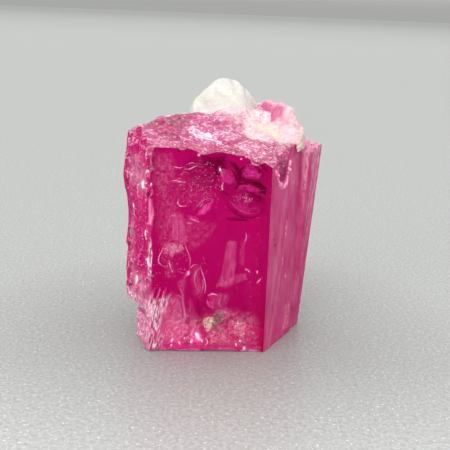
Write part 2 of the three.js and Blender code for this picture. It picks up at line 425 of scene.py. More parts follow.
def oval(middle: Pair, half: Pair, lean: float = 0.0) -> Outline:
    """Outline of an oval.

    Args:
        middle: its middle, on two axes.
        half: its half sizes.
        lean: how far it leans to the right, in degrees.

    Returns:
        The corners.
    """
    cosine, sine = math.cos(math.radians(lean)), math.sin(math.radians(lean))
    corners = []
    for i in range(OVAL_CORNERS):
        angle = math.tau * i / OVAL_CORNERS
        x, y = half[0] * math.cos(angle), half[1] * math.sin(angle)
        corners.append((middle[0] + x * cosine + y * sine, middle[1] - x * sine + y * cosine))
    return corners


def solid_between(low: list[Vector], high: list[Vector], height: float, name: str) -> Object:
    """Closed six-sided solid between an outline at the foot and one above it.

    Args:
        low: corners of the lower outline.
        high: corners of the upper outline.
        height: height of the upper outline.
        name: name of the object.

    Returns:
        The new object.
    """
    piece = add(bpy.ops.mesh.primitive_circle_add, vertices=6, radius=1.0, fill_type="NGON")
    piece.name = name
    with editing(piece):
        bpy.ops.mesh.extrude_region_move(TRANSFORM_OT_translate={"value": (0, 0, 1)})
    for vertex in piece.data.vertices:
        upper = vertex.co.z > 0.5
        outline = high if upper else low
        angle = math.atan2(vertex.co.y, vertex.co.x)
        middle = sum(outline, Vector()) / 6
        turns = [math.atan2(c.y - middle.y, c.x - middle.x) - angle for c in outline]
        nearest = min(range(6), key=lambda i: abs(math.remainder(turns[i], math.tau)))
        vertex.co = (outline[nearest].x, outline[nearest].y, height if upper else 0.0)
    with editing(piece):
        bpy.ops.mesh.normals_make_consistent(inside=False)
    return piece


@dataclass(frozen=True)
class GrowthForm:
    """The tapering growth beside the prism's back right edge, in millimetres."""

    foot: Pair = (2.4194, 1.0516)
    head: Pair = (2.7694, 1.2716)
    foot_radius: float = 0.72
    head_radius: float = 1.12
    reach: float = 10.0
    head_height: float = 7.18

    def beyond(self, spot: Vector) -> float:
        """How far a point lies outside the growth."""
        share = spot.z / self.head_height
        x, y = (low + (high - low) * share for low, high in zip(self.foot, self.head))
        radius = self.foot_radius + (self.head_radius - self.foot_radius) * share
        return math.hypot(spot.x - x, spot.y - y) - radius


class Region(Enum):
    """Parts of the crystal's surface."""

    FRONT = 0
    RIGHT = 1
    GROWTH = 2
    TOP = 3
    LEFT = 4
    BACK = 5
    FOOT = 6
    CRACK = 7
    LEFT_FOOT = 8


ROUGHNESS = {
    Region.FRONT: 0.03,
    Region.RIGHT: 0.3,
    Region.GROWTH: 0.5,
    Region.TOP: 0.24,
    Region.LEFT: 0.45,
    Region.LEFT_FOOT: 0.3,
    Region.BACK: 0.9,
    Region.FOOT: 0.5,
    Region.CRACK: 0.06,
}


@dataclass(frozen=True)
class Hollows:
    """One kind of shell-shaped hollow: its share, the field it lies in, its half sizes, lift and tilt."""

    until: float
    start: Vector
    across: Vector
    along: Pair
    upward: Vector
    rise: Pair
    facing: Vector
    sizes: tuple[Pair, Pair, Pair]
    lift: Pair = (0.02, 0.1)
    tilt: float = 0.2

    def place(self, draw: random.Random) -> Vector:
        """Draws a place in the field."""
        spot = self.start + self.across * draw.uniform(*self.along)
        return spot + self.upward * draw.uniform(*self.rise)

    def size(self, draw: random.Random) -> Triple:
        """Draws the half sizes of one hollow."""
        return tuple(draw.uniform(*limits) for limits in self.sizes)


HOLLOWS = (
    # along the front left edge
    Hollows(
        0.24, FRONT_LEFT, INTO_LEFT, (-0.06, 0.3), UP, (0.8, 7.4), FORM.between(0, 5),
        ((0.08, 0.2), (0.14, 0.45), (0.08, 0.16)), (-0.04, 0.03),
    ),
    # along the far left edge
    Hollows(
        0.4, FRONT_LEFT, INTO_LEFT, (1.9, 2.6), UP, (1.7, 7.6), FORM.between(4, 5),
        ((0.1, 0.2), (0.08, 0.24), (0.1, 0.16)), (-0.06, 0.02),
    ),
    # on the left side
    Hollows(
        0.58, FRONT_LEFT, INTO_LEFT, (0.45, 2.1), UP, (0.1, 7.8), FORM.outward(5),
        ((0.12, 0.3), (0.22, 0.6), (0.1, 0.18)),
    ),
    # on the broken top
    Hollows(
        0.87, UP * 7.6, RIGHTWARD, (-3.3, 3.0), BACKWARD, (-2.5, 0.4), UP,
        ((0.2, 0.5), (0.14, 0.34), (0.1, 0.2)),
    ),
    # along the lower front edge
    Hollows(
        1.0, FRONT_LEFT, FORM.along(0), (0.1, 4.2), UP, (-0.06, 0.03), FORM.outward(0),
        ((0.12, 0.4), (0.07, 0.14), (0.08, 0.16)), (0.0, 0.02), 0.0,
    ),
)


@dataclass(frozen=True)
class CrystalBody:
    """The crystal itself: flat front and right faces, fractured top and left side, uneven back."""

    growth: GrowthForm = GrowthForm()
    cell: float = 0.034
    cutter_cell: float = 0.04
    free: float = -0.3
    growth_free: float = 0.12
    far: float = 12.0
    growth_top: float = 6.8
    growth_break: float = 0.9
    growth_skin: float = 0.15
    skin: float = 0.03
    fade: float = 0.12
    foot_skin: float = 0.1
    foot_fade: float = 0.25
    flat_cosine: float = 0.9998
    flat_depth: float = 0.05
    top_from: float = 5.7
    top_slope: float = 0.3
    foot_slope: float = -0.9
    foot_height: float = 1.8
    corner_width: float = 0.5
    foot_corner_width: float = 1.1
    chips: tuple = (
        ((-3.5, -0.05, 0.1), (0.4, 0.8, 0.5)),
        ((-0.14, -2.3, -0.05), (0.55, 0.3, 0.15)),
        ((-1.64, -2.42, -0.05), (0.35, 0.22, 0.11)),
    )
    hollows: int = 160
    faces: int = 175000
    seed: int = 7

    def flat_faces(self) -> Object:
        """Solid whose front, right and lower sides are the crystal's flat faces."""
        corners = FORM.corners([FLAT_INSET, FLAT_INSET, *[self.free] * 4])
        prism = solid_between(corners, corners, self.far, "flat_faces")
        rings = []
        form = self.growth
        for middle, radius in ((form.foot, form.foot_radius), (form.head, form.head_radius)):
            size = radius + self.growth_free
            rings.append([Vector((*middle, 0.0)) + FORM.along(i) * size for i in range(6)])
        combine(prism, solid_between(*rings, form.reach, "flat_growth"), Combination.JOIN)
        return prism

    def surface_at(self, base: Object, spot: Vector, outward: Vector) -> tuple[Vector, Vector]:
        """Outermost point of a piece on a line, and the direction its surface faces there."""
        hit, place, normal, _ = base.ray_cast(spot + outward * self.far, -outward)
        return (place, normal) if hit else (spot, outward)

    def cutters(self, base: Object) -> Object:
        """Flattened balls that leave shell-shaped hollows in the broken surfaces of the crystal.

        Args:
            base: the crystal before it is cut.

        Returns:
            All balls as one closed piece.
        """
        draw = random.Random(self.seed)
        balls = []
        for _ in range(self.hollows):
            kind = draw.random()
            hollow = next(hollows for hollows in HOLLOWS if kind < hollows.until)
            spot, size = hollow.place(draw), hollow.size(draw)
            place, facing = self.surface_at(base, spot, hollow.facing)
            tilt = Vector([draw.uniform(-hollow.tilt, hollow.tilt) for _ in range(3)])
            facing = (facing + tilt).normalized()
            place = place + facing * draw.uniform(*hollow.lift)
            ball = add(bpy.ops.mesh.primitive_ico_sphere_add, place, subdivisions=3, radius=1.0)
            ball.scale = size
            ball.rotation_euler = facing.to_track_quat("Z", "Y").to_euler()
            balls.append(ball)
        for place, size in self.chips:
            ball = add(bpy.ops.mesh.primitive_ico_sphere_add, place, subdivisions=4, radius=1.0)
            ball.scale = size
            balls.append(ball)
        for ball in balls:
            apply_place(ball)
        together = join(balls, "scallop_cutters")
        remesh(together, self.cutter_cell)
        return together

    def mark(self, piece: Object) -> None:
        """Puts the broken parts of the surface into 'broken' and the back sides into 'grown'."""
        broken = piece.vertex_groups.new(name="broken")
        grown = piece.vertex_groups.new(name="grown")
        for vertex in piece.data.vertices:
            depths = FORM.depths(vertex.co)
            back = min(depths[2:5])
            clear = clip((min(depths[:2]) - self.skin) / self.fade)
            inside = clip((back - self.skin) / self.fade)
            above_foot = clip((vertex.co.z - self.foot_skin) / self.foot_fade)
            if back < 0 and vertex.co.z > self.growth_top:
                inside = self.growth_break
            for group, share in ((broken, inside), (grown, 1 - inside)):
                if clear * share * above_foot > 0:
                    group.add([vertex.index], clear * share * above_foot, "REPLACE")

    def region(self, middle: Vector, normal: Vector) -> Region:
        """Tells which part of the surface a face belongs to.

        Args:
            middle: the face's middle, in millimetres.
            normal: the face's outward direction.

        Returns:
            Its region.
        """
        depths = FORM.depths(middle)
        nearest = depths.index(min(depths))
        low = middle.z < self.foot_height
        if middle.z < FLAT_INSET and normal.z < self.foot_slope:
            return Region.FOOT
        for side, region in enumerate((Region.FRONT, Region.RIGHT)):
            if normal.dot(FORM.outward(side)) > self.flat_cosine and depths[side] < self.flat_depth:
                return region
        if min(depths[1:4]) < -FLAT_INSET and self.growth.beyond(middle) < self.growth_skin:
            return Region.GROWTH
        if middle.z > self.top_from and (normal.z > self.top_slope or nearest in (0, 1)):
            return Region.TOP
        if nearest in (2, 3, 4) and depths[5] > (self.foot_corner_width if low else self.corner_width):
            return Region.BACK
        return Region.LEFT_FOOT if low else Region.LEFT

    def build(self) -> Object:
        """Makes the crystal's surface.

        Returns:
            The undressed crystal in millimetres, with the attributes 'region' and 'crest'.
        """
        piece = copy_of_node("beryl_crystal", "beryl")
        combine(piece, self.cutters(piece), Combination.CUT)
        remesh(piece, self.cell)
        self.mark(piece)
        roughen(piece, Relief.WAVES, size=0.9, height=0.2, group="grown", noise_depth=1)
        roughen(piece, Relief.SHELLS, size=0.5, height=0.08, group="grown")
        modify(piece, "SMOOTH", vertex_group="grown", factor=0.6, iterations=60)
        roughen(piece, Relief.SHELLS, size=0.42, height=0.16, group="broken")
        roughen(piece, Relief.WAVES, 0.16, 0.05, "broken", noise_type="HARD_NOISE", noise_depth=2)
        combine(piece, self.flat_faces(), Combination.COMMON)
        self.thin(piece)
        regions = [self.region(face.center, face.normal).value for face in piece.data.polygons]
        store(piece, "region", regions, "INT", "FACE")
        store_crests(piece)
        return piece

    def thin(self, piece: Object) -> None:
        """Brings the crystal down to its number of triangles."""
        piece.data.calc_loop_triangles()
        count = len(piece.data.loop_triangles)
        log.info("crystal surface: %d triangles before thinning", count)
        if count > self.faces:
            modify(piece, "DECIMATE", ratio=self.faces / count)

    def dress(self, piece: Object) -> None:
        """Puts the inner cracks into the crystal, stores how frosted each face is and dresses it."""
        join([piece, *[crack.build() for crack in CRACKS]], "beryl")
        levels = {region.value: level for region, level in ROUGHNESS.items()}
        regions = [item.value for item in piece.data.attributes["region"].data]
        store(piece, "rough", [levels[region] for region in regions], "FLOAT", "FACE")
        finish(piece, BerylFinish().make(), node="beryl_crystal", smooth=BERYL_SMOOTH_ANGLE)


# ---------------------------------------------------------------- materials


class Shader:
    """Small builder for the node tree of one Principled material."""

    def __init__(self, name: str) -> None:
        """Starts a material with its Principled shader."""
        self.material = bpy.data.materials.new(name)
        self.material.use_nodes = True
        self.nodes = self.material.node_tree.nodes
        self.links = self.material.node_tree.links
        self.surface = self.nodes["Principled BSDF"]

    @cached_property
    def place(self) -> NodeSocket:
        """Object coordinates of the shaded point."""
        return self.new("TexCoord").outputs["Object"]

    def put(self, socket: NodeSocket, value: object) -> None:
        """Links an input to another socket, or gives it a plain value."""
        if isinstance(value, NodeSocket):
            self.links.new(value, socket)
        else:
            socket.default_value = value

    def fill(self, node: Node, **inputs: object) -> Node:
        """Fills a node's inputs; underscores in a name stand for spaces."""
        for key, value in inputs.items():
            self.put(node.inputs[key.replace("_", " ")], value)
        return node

    def new(self, kind: str, **inputs: object) -> Node:
        """Adds a node with its inputs."""
        return self.fill(self.nodes.new(f"ShaderNode{kind}"), **inputs)

    def set(self, **inputs: object) -> None:
        """Fills inputs of the Principled shader."""
        self.fill(self.surface, **inputs)

    def scaled(self, size: float, stretch: Triple = EVEN, lean: float = 0.0) -> NodeSocket:
        """Object coordinates in units of a feature.

        Args:
            size: size of the feature, in millimetres.
            stretch: how much longer the feature is along each axis.
            lean: how far the upright axis leans to the right, in degrees.

        Returns:
            The coordinates' output.
        """
        mapping = self.new("Mapping", Vector=self.place, Rotation=(0.0, math.radians(lean), 0.0))
        mapping.vector_type = "TEXTURE"
        self.fill(mapping, Scale=[size * MM * s for s in stretch])
        return mapping.outputs["Vector"]

    def noise(self, where: NodeSocket, detail: float = 4.0, rough: float = 0.6) -> NodeSocket:
        """Cloudy pattern from 0 to 1."""
        return self.new("TexNoise", Vector=where, Scale=1.0, Detail=detail, Roughness=rough).outputs["Fac"]

    def cracks(self, where: NodeSocket, width: float) -> NodeSocket:
        """Net of lines, 1 on a line and 0 off it."""
        node = self.new("TexVoronoi", Vector=where, Scale=1.0)
        node.feature = "DISTANCE_TO_EDGE"
        return self.span(node.outputs["Distance"], 0.0, width, 1.0, 0.0)

    def attribute(self, name: str) -> NodeSocket:
        """A number stored on the mesh."""
        node = self.new("Attribute")
        node.attribute_name = name
        return node.outputs["Fac"]

    def span(
        self, value: NodeSocket, low: float, high: float, to_low: float = 0.0, to_high: float = 1.0
    ) -> NodeSocket:
        """Spreads a range of values over another and clips it."""
        node = self.new("MapRange", Value=value, From_Min=low, From_Max=high, To_Min=to_low, To_Max=to_high)
        return node.outputs["Result"]

    def maths(self, how: str, one: object, two: object) -> NodeSocket:
        """Result of an operation on two sockets or numbers."""
        node = self.new("Math")
        node.operation = how
        for socket, value in zip(node.inputs, (one, two)):
            self.put(socket, value)
        return node.outputs["Value"]

    def product(self, *values: object) -> NodeSocket:
        """Product of sockets or numbers."""
        return reduce(lambda one, two: self.maths("MULTIPLY", one, two), values)

    def total(self, *values: object) -> NodeSocket:
        """Sum of sockets or numbers."""
        return reduce(lambda one, two: self.maths("ADD", one, two), values)

    def blend(self, share: NodeSocket, one: object, two: object) -> NodeSocket:
        """Colour between two colours, each a socket or red, green and blue."""
        node = self.new("Mix")
        node.data_type = "RGBA"
        for socket, value in zip([socket for socket in node.inputs if socket.type == "RGBA"], (one, two)):
            self.put(socket, value if isinstance(value, NodeSocket) else (*value, 1.0))
        self.fill(node, Factor=share)
        return next(socket for socket in node.outputs if socket.type == "RGBA")

    def bump(self, height: NodeSocket, depth: float = 0.012, strength: float = 1.0) -> None:
        """Adds fine relief; the depth is in millimetres."""
        node = self.new("Bump", Height=height, Strength=strength, Distance=depth * MM)
        self.set(Normal=node.outputs["Normal"])


@dataclass(frozen=True)
class BerylFinish:
    """Clear deep magenta beryl, frosted where the attribute 'rough' says so."""

    name: str = "beryl_magenta"
    index: float = 1.57
    surface: Triple = (1.0, 0.96, 0.98)
    tint: Triple = (0.977, 0.0, 0.776)
    density: float = 1500.0
    gloss_tint: Triple = (0.8, 0.04, 0.2)

    def make(self) -> Material:
        """Builds the material."""
        shader = Shader(self.name)
        shader.set(Base_Color=(*self.surface, 1.0), Transmission_Weight=1.0, IOR=self.index)
        shader.set(Specular_Tint=(*self.gloss_tint, 1.0), Roughness=shader.attribute("rough"))
        inside = shader.new("VolumeAbsorption", Color=(*self.tint, 1.0), Density=self.density)
        shader.fill(shader.nodes["Material Output"], Volume=inside.outputs["Volume"])
        return shader.material


@dataclass(frozen=True)
class FrostFinish:
    """Film on broken surfaces: pale patches, fine cracks, pale crests that are partly frosted edges and
    partly a painted highlight, and dark red patches.
    """

    name: str
    pale: Triple = (0.97, 0.84, 0.9)
    deep: Triple = (0.8, 0.2, 0.42)
    white: Triple = (0.97, 0.86, 0.94)
    cream: Triple = (0.95, 0.76, 0.72)
    dark: Triple = (0.25, 0.012, 0.045)
    base: float = 0.2
    patch: float = 0.5
    crack: float = 0.4
    crest: float = 0.8
    size: float = 0.4
    fine_share: float = 0.22
    crack_share: float = 0.5
    crack_width: float = 0.07
    stretch: Triple = EVEN
    roughness: float = 0.3
    index: float = 1.57
    gloss: float = 0.5
    bright: float = 0.5
    cloud: float = 0.0

    def make(self) -> Material:
        """Builds the material; the attributes white, stained and creamy shift it from place to place."""
        shader = Shader(self.name)
        shader.set(Roughness=self.roughness, IOR=self.index, Specular_IOR_Level=self.gloss)
        white, stained, creamy, crest = map(shader.attribute, (*FROST_MARKS, "crest"))
        broad = shader.noise(shader.scaled(self.size, self.stretch), 3.0)
        fine = shader.noise(shader.scaled(self.size * self.fine_share, self.stretch))
        lines = shader.cracks(shader.scaled(self.size * self.crack_share, self.stretch), self.crack_width)
        lines = shader.product(lines, shader.span(fine, 0.4, 0.62))
        # pale crests: partly frosted edges, partly a painted highlight
        crests = shader.span(crest, 0.08, 0.36)
        stain = shader.product(stained, shader.span(broad, 0.42, 0.54, 0.15, 1.0))
        drift = shader.product(white, shader.span(fine, 0.36, 0.6, 0.1, 1.0))
        speckle = shader.product(shader.span(fine, 0.38, 0.62, 0.2, 1.0), self.patch)
        speckle = shader.product(shader.span(broad, 0.45, 0.62), speckle)
        cover = shader.total(speckle, shader.product(lines, self.crack), self.base)
        cover = shader.maths("MAXIMUM", cover, shader.product(stain, 0.9))
        cover = shader.total(cover, shader.product(crests, self.crest), drift)
        cover = shader.total(cover, shader.product(creamy, shader.span(fine, 0.3, 0.5, 0.4, 1.2)))
        flecks = shader.span(fine, self.bright, self.bright + 0.25)
        flecks = shader.total(flecks, shader.span(broad, 0.35, 0.7, 0.0, self.cloud))
        sharp = shader.maths("MAXIMUM", shader.product(lines, min(1.0, 3 * self.crack)), crests)
        paleness = shader.product(shader.total(sharp, flecks), shader.span(stain, 0.0, 1.0, 1.0, 0.35))
        colour = shader.blend(paleness, shader.blend(stain, self.deep, self.dark), self.pale)
        colour = shader.blend(shader.maths("MINIMUM", drift, 1.0), colour, self.white)
        colour = shader.blend(creamy, colour, self.cream)
        shader.set(Alpha=shader.maths("MINIMUM", cover, 1.0), Base_Color=colour)
        shader.bump(fine)
        return shader.material


@dataclass(frozen=True)
class VeilFinish:
    """Scattering film whose density follows the attribute 'cover'; its emission is a painted glow of light
    gathered there.
    """

    name: str
    pale: Triple
    deep: Triple
    size: float = 0.12
    stretch: Triple = EVEN
    lean: float = 0.0
    contrast: Pair = (0.36, 0.64)
    least: float = 0.15
    most: float = 1.5
    painted_glow: float = 0.0

    def make(self) -> Material:
        """Builds the material."""
        shader = Shader(self.name)
        shader.set(Roughness=0.5, Specular_IOR_Level=0.0)
        # emission: a painted glow, no lamp
        shader.set(Emission_Color=(*self.deep, 1.0), Emission_Strength=self.painted_glow)
        grain = shader.noise(shader.scaled(self.size, self.stretch, self.lean), 3.0, 0.55)
        dust = shader.span(grain, *self.contrast, self.least, self.most)
        alpha = shader.maths("MINIMUM", shader.product(shader.attribute("cover"), dust), 1.0)
        shader.set(Alpha=alpha, Base_Color=shader.blend(shader.span(grain, 0.4, 0.62), self.deep, self.pale))
        return shader.material


@dataclass(frozen=True)
class GrainFinish:
    """Small solid grains that differ a little; their emission is a painted glow of light gathered there."""

    name: str
    pale: Triple
    dark: Triple
    roughness: float = 0.35
    painted_glow: float = 0.0
    size: float = 0.09

    def make(self) -> Material:
        """Builds the material."""
        shader = Shader(self.name)
        # emission: a painted glow, no lamp
        shader.set(Roughness=self.roughness, Emission_Color=(*self.pale, 1.0), Emission_Strength=self.painted_glow)
        grain = shader.noise(shader.scaled(self.size), 2.0)
        shader.set(Base_Color=shader.blend(shader.span(grain, 0.38, 0.62), self.dark, self.pale))
        return shader.material


@dataclass(frozen=True)
class RockFinish:
    """Dull grainy rock, stained where the attributes 'rosy' and 'creamy' say so."""

    name: str
    pale: Triple
    dark: Triple
    stain: Triple = (0.55, 0.1, 0.26)
    cream: Triple = (0.79, 0.64, 0.54)
    size: float = 0.4
    grain: float = 0.07

    def make(self) -> Material:
        """Builds the material."""
        shader = Shader(self.name)
        shader.set(Roughness=0.85)
        patches = shader.noise(shader.scaled(self.size), 5.0)
        colour = shader.blend(shader.span(patches, 0.35, 0.6), self.dark, self.pale)
        rosy, creamy = map(shader.attribute, ROCK_MARKS)
        rosy = shader.product(rosy, shader.span(patches, 0.3, 0.55, 0.5, 1.0))
        creamy = shader.product(creamy, shader.span(patches, 0.35, 0.5, 0.55, 1.0))
        colour = shader.blend(rosy, colour, self.stain)
        shader.set(Base_Color=shader.blend(creamy, colour, self.cream))
        shader.bump(shader.noise(shader.scaled(self.grain), 3.0))
        return shader.material


# ---------------------------------------------------------------- films, veils and grains


@dataclass(frozen=True)
class Zone:
    """Part of a surface, marked by an outline seen from above or square to a side."""

    mark: str
    outline: Outline
    weight: float = 1.0
    soft: float = 0.12
    side: Side | None = None

    def strength(self, spot: Vector) -> float:
        """How strongly a point belongs to the zone."""
        place = self.side.flat(spot) if self.side else (spot.x, spot.y)
        return self.weight * clip(edge_distance(place, self.outline) / self.soft)


def paint_zones(piece: Object, zones: list[Zone], marks: tuple[str, ...]) -> None:
    """Stores the zones of a surface in attributes, the strongest zone counting.

    Args:
        piece: mesh object in millimetres.
        zones: the zones.
        marks: names of the attributes.
    """
    spots = [vertex.co.copy() for vertex in piece.data.vertices]
    for mark in marks:
        chosen = [zone for zone in zones if zone.mark == mark]
        store(piece, mark, [max((zone.strength(spot) for zone in chosen), default=0.0) for spot in spots])


@dataclass(frozen=True)
class FrostSheet:
    """Film over one part of the crystal's surface, named like its finish."""

    region: Region
    finish: FrostFinish
    zones: list[Zone] = field(default_factory=list)
    gap: float = 0.006

    def build(self, crystal: Object) -> Object:
        """Makes the film from the crystal's own faces.

        Args:
            crystal: the crystal in millimetres, with its region attribute.

        Returns:
            The film in millimetres.
        """
        piece = duplicate(crystal, self.finish.name)
        regions = [item.value for item in piece.data.attributes["region"].data]
        with editing(piece):
            bpy.ops.mesh.select_mode(type="FACE")
            bpy.ops.mesh.select_all(action="DESELECT")
        for polygon, region in zip(piece.data.polygons, regions):
            polygon.select = region != self.region.value
        bpy.ops.object.mode_set(mode="EDIT")
        bpy.ops.mesh.delete(type="FACE")
        bpy.ops.object.mode_set(mode="OBJECT")
        modify(piece, "DISPLACE", strength=self.gap, mid_level=0.0)
        paint_zones(piece, self.zones, FROST_MARKS)
        return piece

    def dress(self, piece: Object) -> None:
        """Gives the film its finish and its place."""
        finish(piece, self.finish.make(), smooth=BERYL_SMOOTH_ANGLE)


@dataclass(frozen=True)
class InnerCrack:
    """Thin air-filled crack inside the crystal, a shallow rippled bowl."""

    along: float
    height: float
    depth: float
    turn: float
    lean: float
    radii: Pair
    bulge: float
    ripple: float = 0.006
    thickness: float = 0.012
    cells: int = 28

    def build(self) -> Object:
        """Makes the crack as a closed hollow in millimetres whose walls face its inside."""
        piece = add(
            bpy.ops.mesh.primitive_grid_add, x_subdivisions=self.cells, y_subdivisions=self.cells, size=2.0
        )
        for vertex in piece.data.vertices:
            ring, angle = disc_place(vertex.co)
            wobble = 1 + 0.08 * math.sin(2 * angle + self.along) + 0.05 * math.sin(3 * angle + self.height)
            x = ring * math.cos(angle) * self.radii[0] * wobble
            y = ring * math.sin(angle) * self.radii[1] * wobble
            wave = self.ripple * math.sin(ring * 12 + 1.5 * math.sin(angle + self.depth))
            vertex.co = (x, y, self.bulge * (1 - ring * ring) + wave * ring)
        modify(piece, "SOLIDIFY", thickness=self.thickness, offset=0.0)
        piece.rotation_euler = (math.radians(90 + self.lean), 0.0, math.radians(FORM.turn + self.turn))
        piece.location = Side.FRONT.spot(self.along, self.height, self.depth)
        apply_place(piece)
        with editing(piece):
            bpy.ops.mesh.normals_make_consistent(inside=True)
        bpy.ops.object.shade_smooth()
        store(piece, "region", [Region.CRACK.value] * len(piece.data.polygons), "INT", "FACE")
        return piece


@dataclass(frozen=True)
class Veil:
    """Curved film of dust or a healed crack behind a flat face, or a thin film on it."""

    outline: Outline
    depth: float = 0.15
    cover: float = 0.3
    soft: float = 0.1
    rim: float = 0.0
    rim_from: float = 0.9
    wave: float = 0.03
    side: Side = Side.FRONT
    cells: int = 26

    def build(self) -> Object:
        """Makes the film as an open sheet in millimetres with the attribute 'cover'."""
        piece = add(
            bpy.ops.mesh.primitive_grid_add, x_subdivisions=self.cells, y_subdivisions=self.cells, size=2.0
        )
        middle = [sum(corner[i] for corner in self.outline) / len(self.outline) for i in (0, 1)]
        cover = []
        for vertex in piece.data.vertices:
            ring, angle = disc_place(vertex.co)
            reach = outline_reach(angle, middle, self.outline) * ring
            along = middle[0] + reach * math.cos(angle)
            height = middle[1] + reach * math.sin(angle)
            wave = self.wave * math.sin(7 * along + 3) * math.cos(5 * height + 1)
            vertex.co = self.side.spot(along, height, self.depth + wave)
            inner = clip(edge_distance((along, height), self.outline) / self.soft)
            edge = self.rim if ring > self.rim_from else 0.0
            cover.append(self.cover * inner * inner * (3 - 2 * inner) + edge)
        store(piece, "cover", cover)
        return piece


def smooth_line(points: Outline, depth: float, side: Side = Side.FRONT, steps: int = 5) -> list[Vector]:
    """Rounded line through places measured on a side.

    Args:
        points: places along and up the side.
        depth: distance behind the flat face.
        side: the side.
        steps: pieces between two places.

    Returns:
        The points of the line, in millimetres.
    """
    line = []
    for i in range(len(points) - 1):
        before, start = points[max(i - 1, 0)], points[i]
        end, after = points[i + 1], points[min(i + 2, len(points) - 1)]
        for step in range(steps):
            t = step / steps
            place = []
            for a, b, c, d in zip(before, start, end, after):
                curve = (2 * a - 5 * b + 4 * c - d) * t * t
                place.append(0.5 * (2 * b + (c - a) * t + curve + (3 * b - a - 3 * c + d) * t ** 3))
            line.append(side.spot(*place, depth))
    line.append(side.spot(*points[-1], depth))
    return line


@dataclass(frozen=True)
class Ribbon:
    """Narrow soft-edged film along a line behind the front face."""

    line: Outline
    width: float
    cover: float = 0.6
    depth: float = 0.05
    taper: float = 0.6
    cells: int = 6

    def build(self) -> Object:
        """Makes the film as an open strip in millimetres with the attribute 'cover'."""
        points = smooth_line(self.line, self.depth)
        last = len(points) - 1
        piece = add(bpy.ops.mesh.primitive_grid_add, x_subdivisions=last, y_subdivisions=self.cells, size=2.0)
        cover = []
        for vertex in piece.data.vertices:
            place, off = round((vertex.co.x + 1) / 2 * last), vertex.co.y
            ahead = points[min(place + 1, last)] - points[max(place - 1, 0)]
            across = ahead.cross(FORM.outward(0)).normalized()
            taper = math.sin(math.pi * (place + 0.5) / (last + 1)) ** self.taper
            vertex.co = points[place] + across * off * taper * self.width / 2
            cover.append(self.cover * (1 - off * off) * taper)
        store(piece, "cover", cover)
        return piece


def grains(name: str, places: list[tuple[Vector, float]], draw: random.Random) -> Object:
    """Many small eight-sided grains in one mesh.

    Args:
        name: name of the object.
        places: middle and half size of each grain, in millimetres.
        draw: source of random numbers.

    Returns:
        The joined grains.
    """
    tips = [Vector(t) for t in ((1, 0, 0), (0, 1, 0), (-1, 0, 0), (0, -1, 0), (0, 0, 1), (0, 0, -1))]
    triangles = [(0, 1, 4), (1, 2, 4), (2, 3, 4), (3, 0, 4), (1, 0, 5), (2, 1, 5), (3, 2, 5), (0, 3, 5)]
    points, faces = [], []
    for spot, size in places:
        turn = Vector([draw.uniform(-1, 1) for _ in range(3)]).to_track_quat("Z", "Y")
        faces.extend([tuple(len(points) + corner for corner in triangle) for triangle in triangles])
        points.extend([spot + turn @ (tip * size * draw.uniform(0.5, 1.3)) for tip in tips])
    mesh = bpy.data.meshes.new(name)
    mesh.from_pydata(points, [], faces)
    return to_scene(name, mesh)


# ---------------------------------------------------------------- what is sealed in the crystal

# depth of a film that lies on the right face
ON_RIGHT = -0.012

# soft whitish dust films
DUST_VEILS = [
    Veil([(0.02, 7.35), (0.8, 7.3), (1.0, 6.6), (0.85, 5.9), (0.35, 5.6), (0.02, 6.2)], 0.08, 0.18, 0.3),
    Veil([(0.6, 6.9), (2.1, 6.4), (2.4, 5.6), (1.8, 5.2), (0.9, 5.3), (0.5, 5.9)], 0.1, 0.05, 0.35),
    Veil([(0.1, 6.0), (0.85, 6.1), (1.25, 5.06), (1.45, 4.1), (1.0, 3.3), (0.4, 3.2),
          (0.15, 4.6)], 0.1, 0.14, 0.35),
    Veil([(1.25, 5.0), (2.5, 4.8), (2.2, 4.2), (1.75, 3.75), (1.35, 3.7), (1.2, 4.4)], 0.1, 0.1, 0.2),
    Veil([(0.7, 4.07), (0.95, 4.04), (1.22, 4.0), (1.3, 3.78), (0.95, 3.62), (0.86, 3.42), (0.7, 3.6),
          (0.48, 3.6), (0.52, 3.85)], 0.03, 0.55, 0.08),
    Veil([(0.5, 3.5), (0.95, 3.45), (1.1, 3.0), (0.85, 2.6), (0.5, 2.7)], 0.1, 0.1, 0.2),
    Veil([(0.3, 1.9), (0.9, 2.4), (1.6, 1.6), (1.5, 0.1), (0.35, 0.1)], 0.1, 0.25, 0.4),
    Veil([(1.9, 1.5), (2.6, 1.9), (3.3, 1.7), (3.75, 1.2), (3.8, 0.06), (1.9, 0.06)], 0.1, 0.35, 0.5),
    Veil([(3.0, 1.5), (3.7, 1.7), (4.15, 1.2), (4.2, 0.04), (3.0, 0.04)], 0.06, 0.28, 0.4),
    Veil([(2.35, 1.6), (2.9, 1.72), (3.1, 1.3), (2.6, 1.1)], 0.03, 0.45, 0.22),
    Veil([(3.05, 1.25), (3.5, 1.3), (3.66, 0.9), (3.55, 0.45), (3.1, 0.5)], 0.03, 0.5, 0.25),
    Veil([(2.3, 1.0), (2.75, 1.0), (3.2, 0.5), (3.1, 0.12), (2.2, 0.12), (2.05, 0.6)], 0.05, 0.35, 0.25),
    Veil([(0.4, 1.5), (1.2, 1.6), (2.2, 1.4), (2.2, 0.06), (0.4, 0.06)], 0.04, 0.45, 0.6),
]

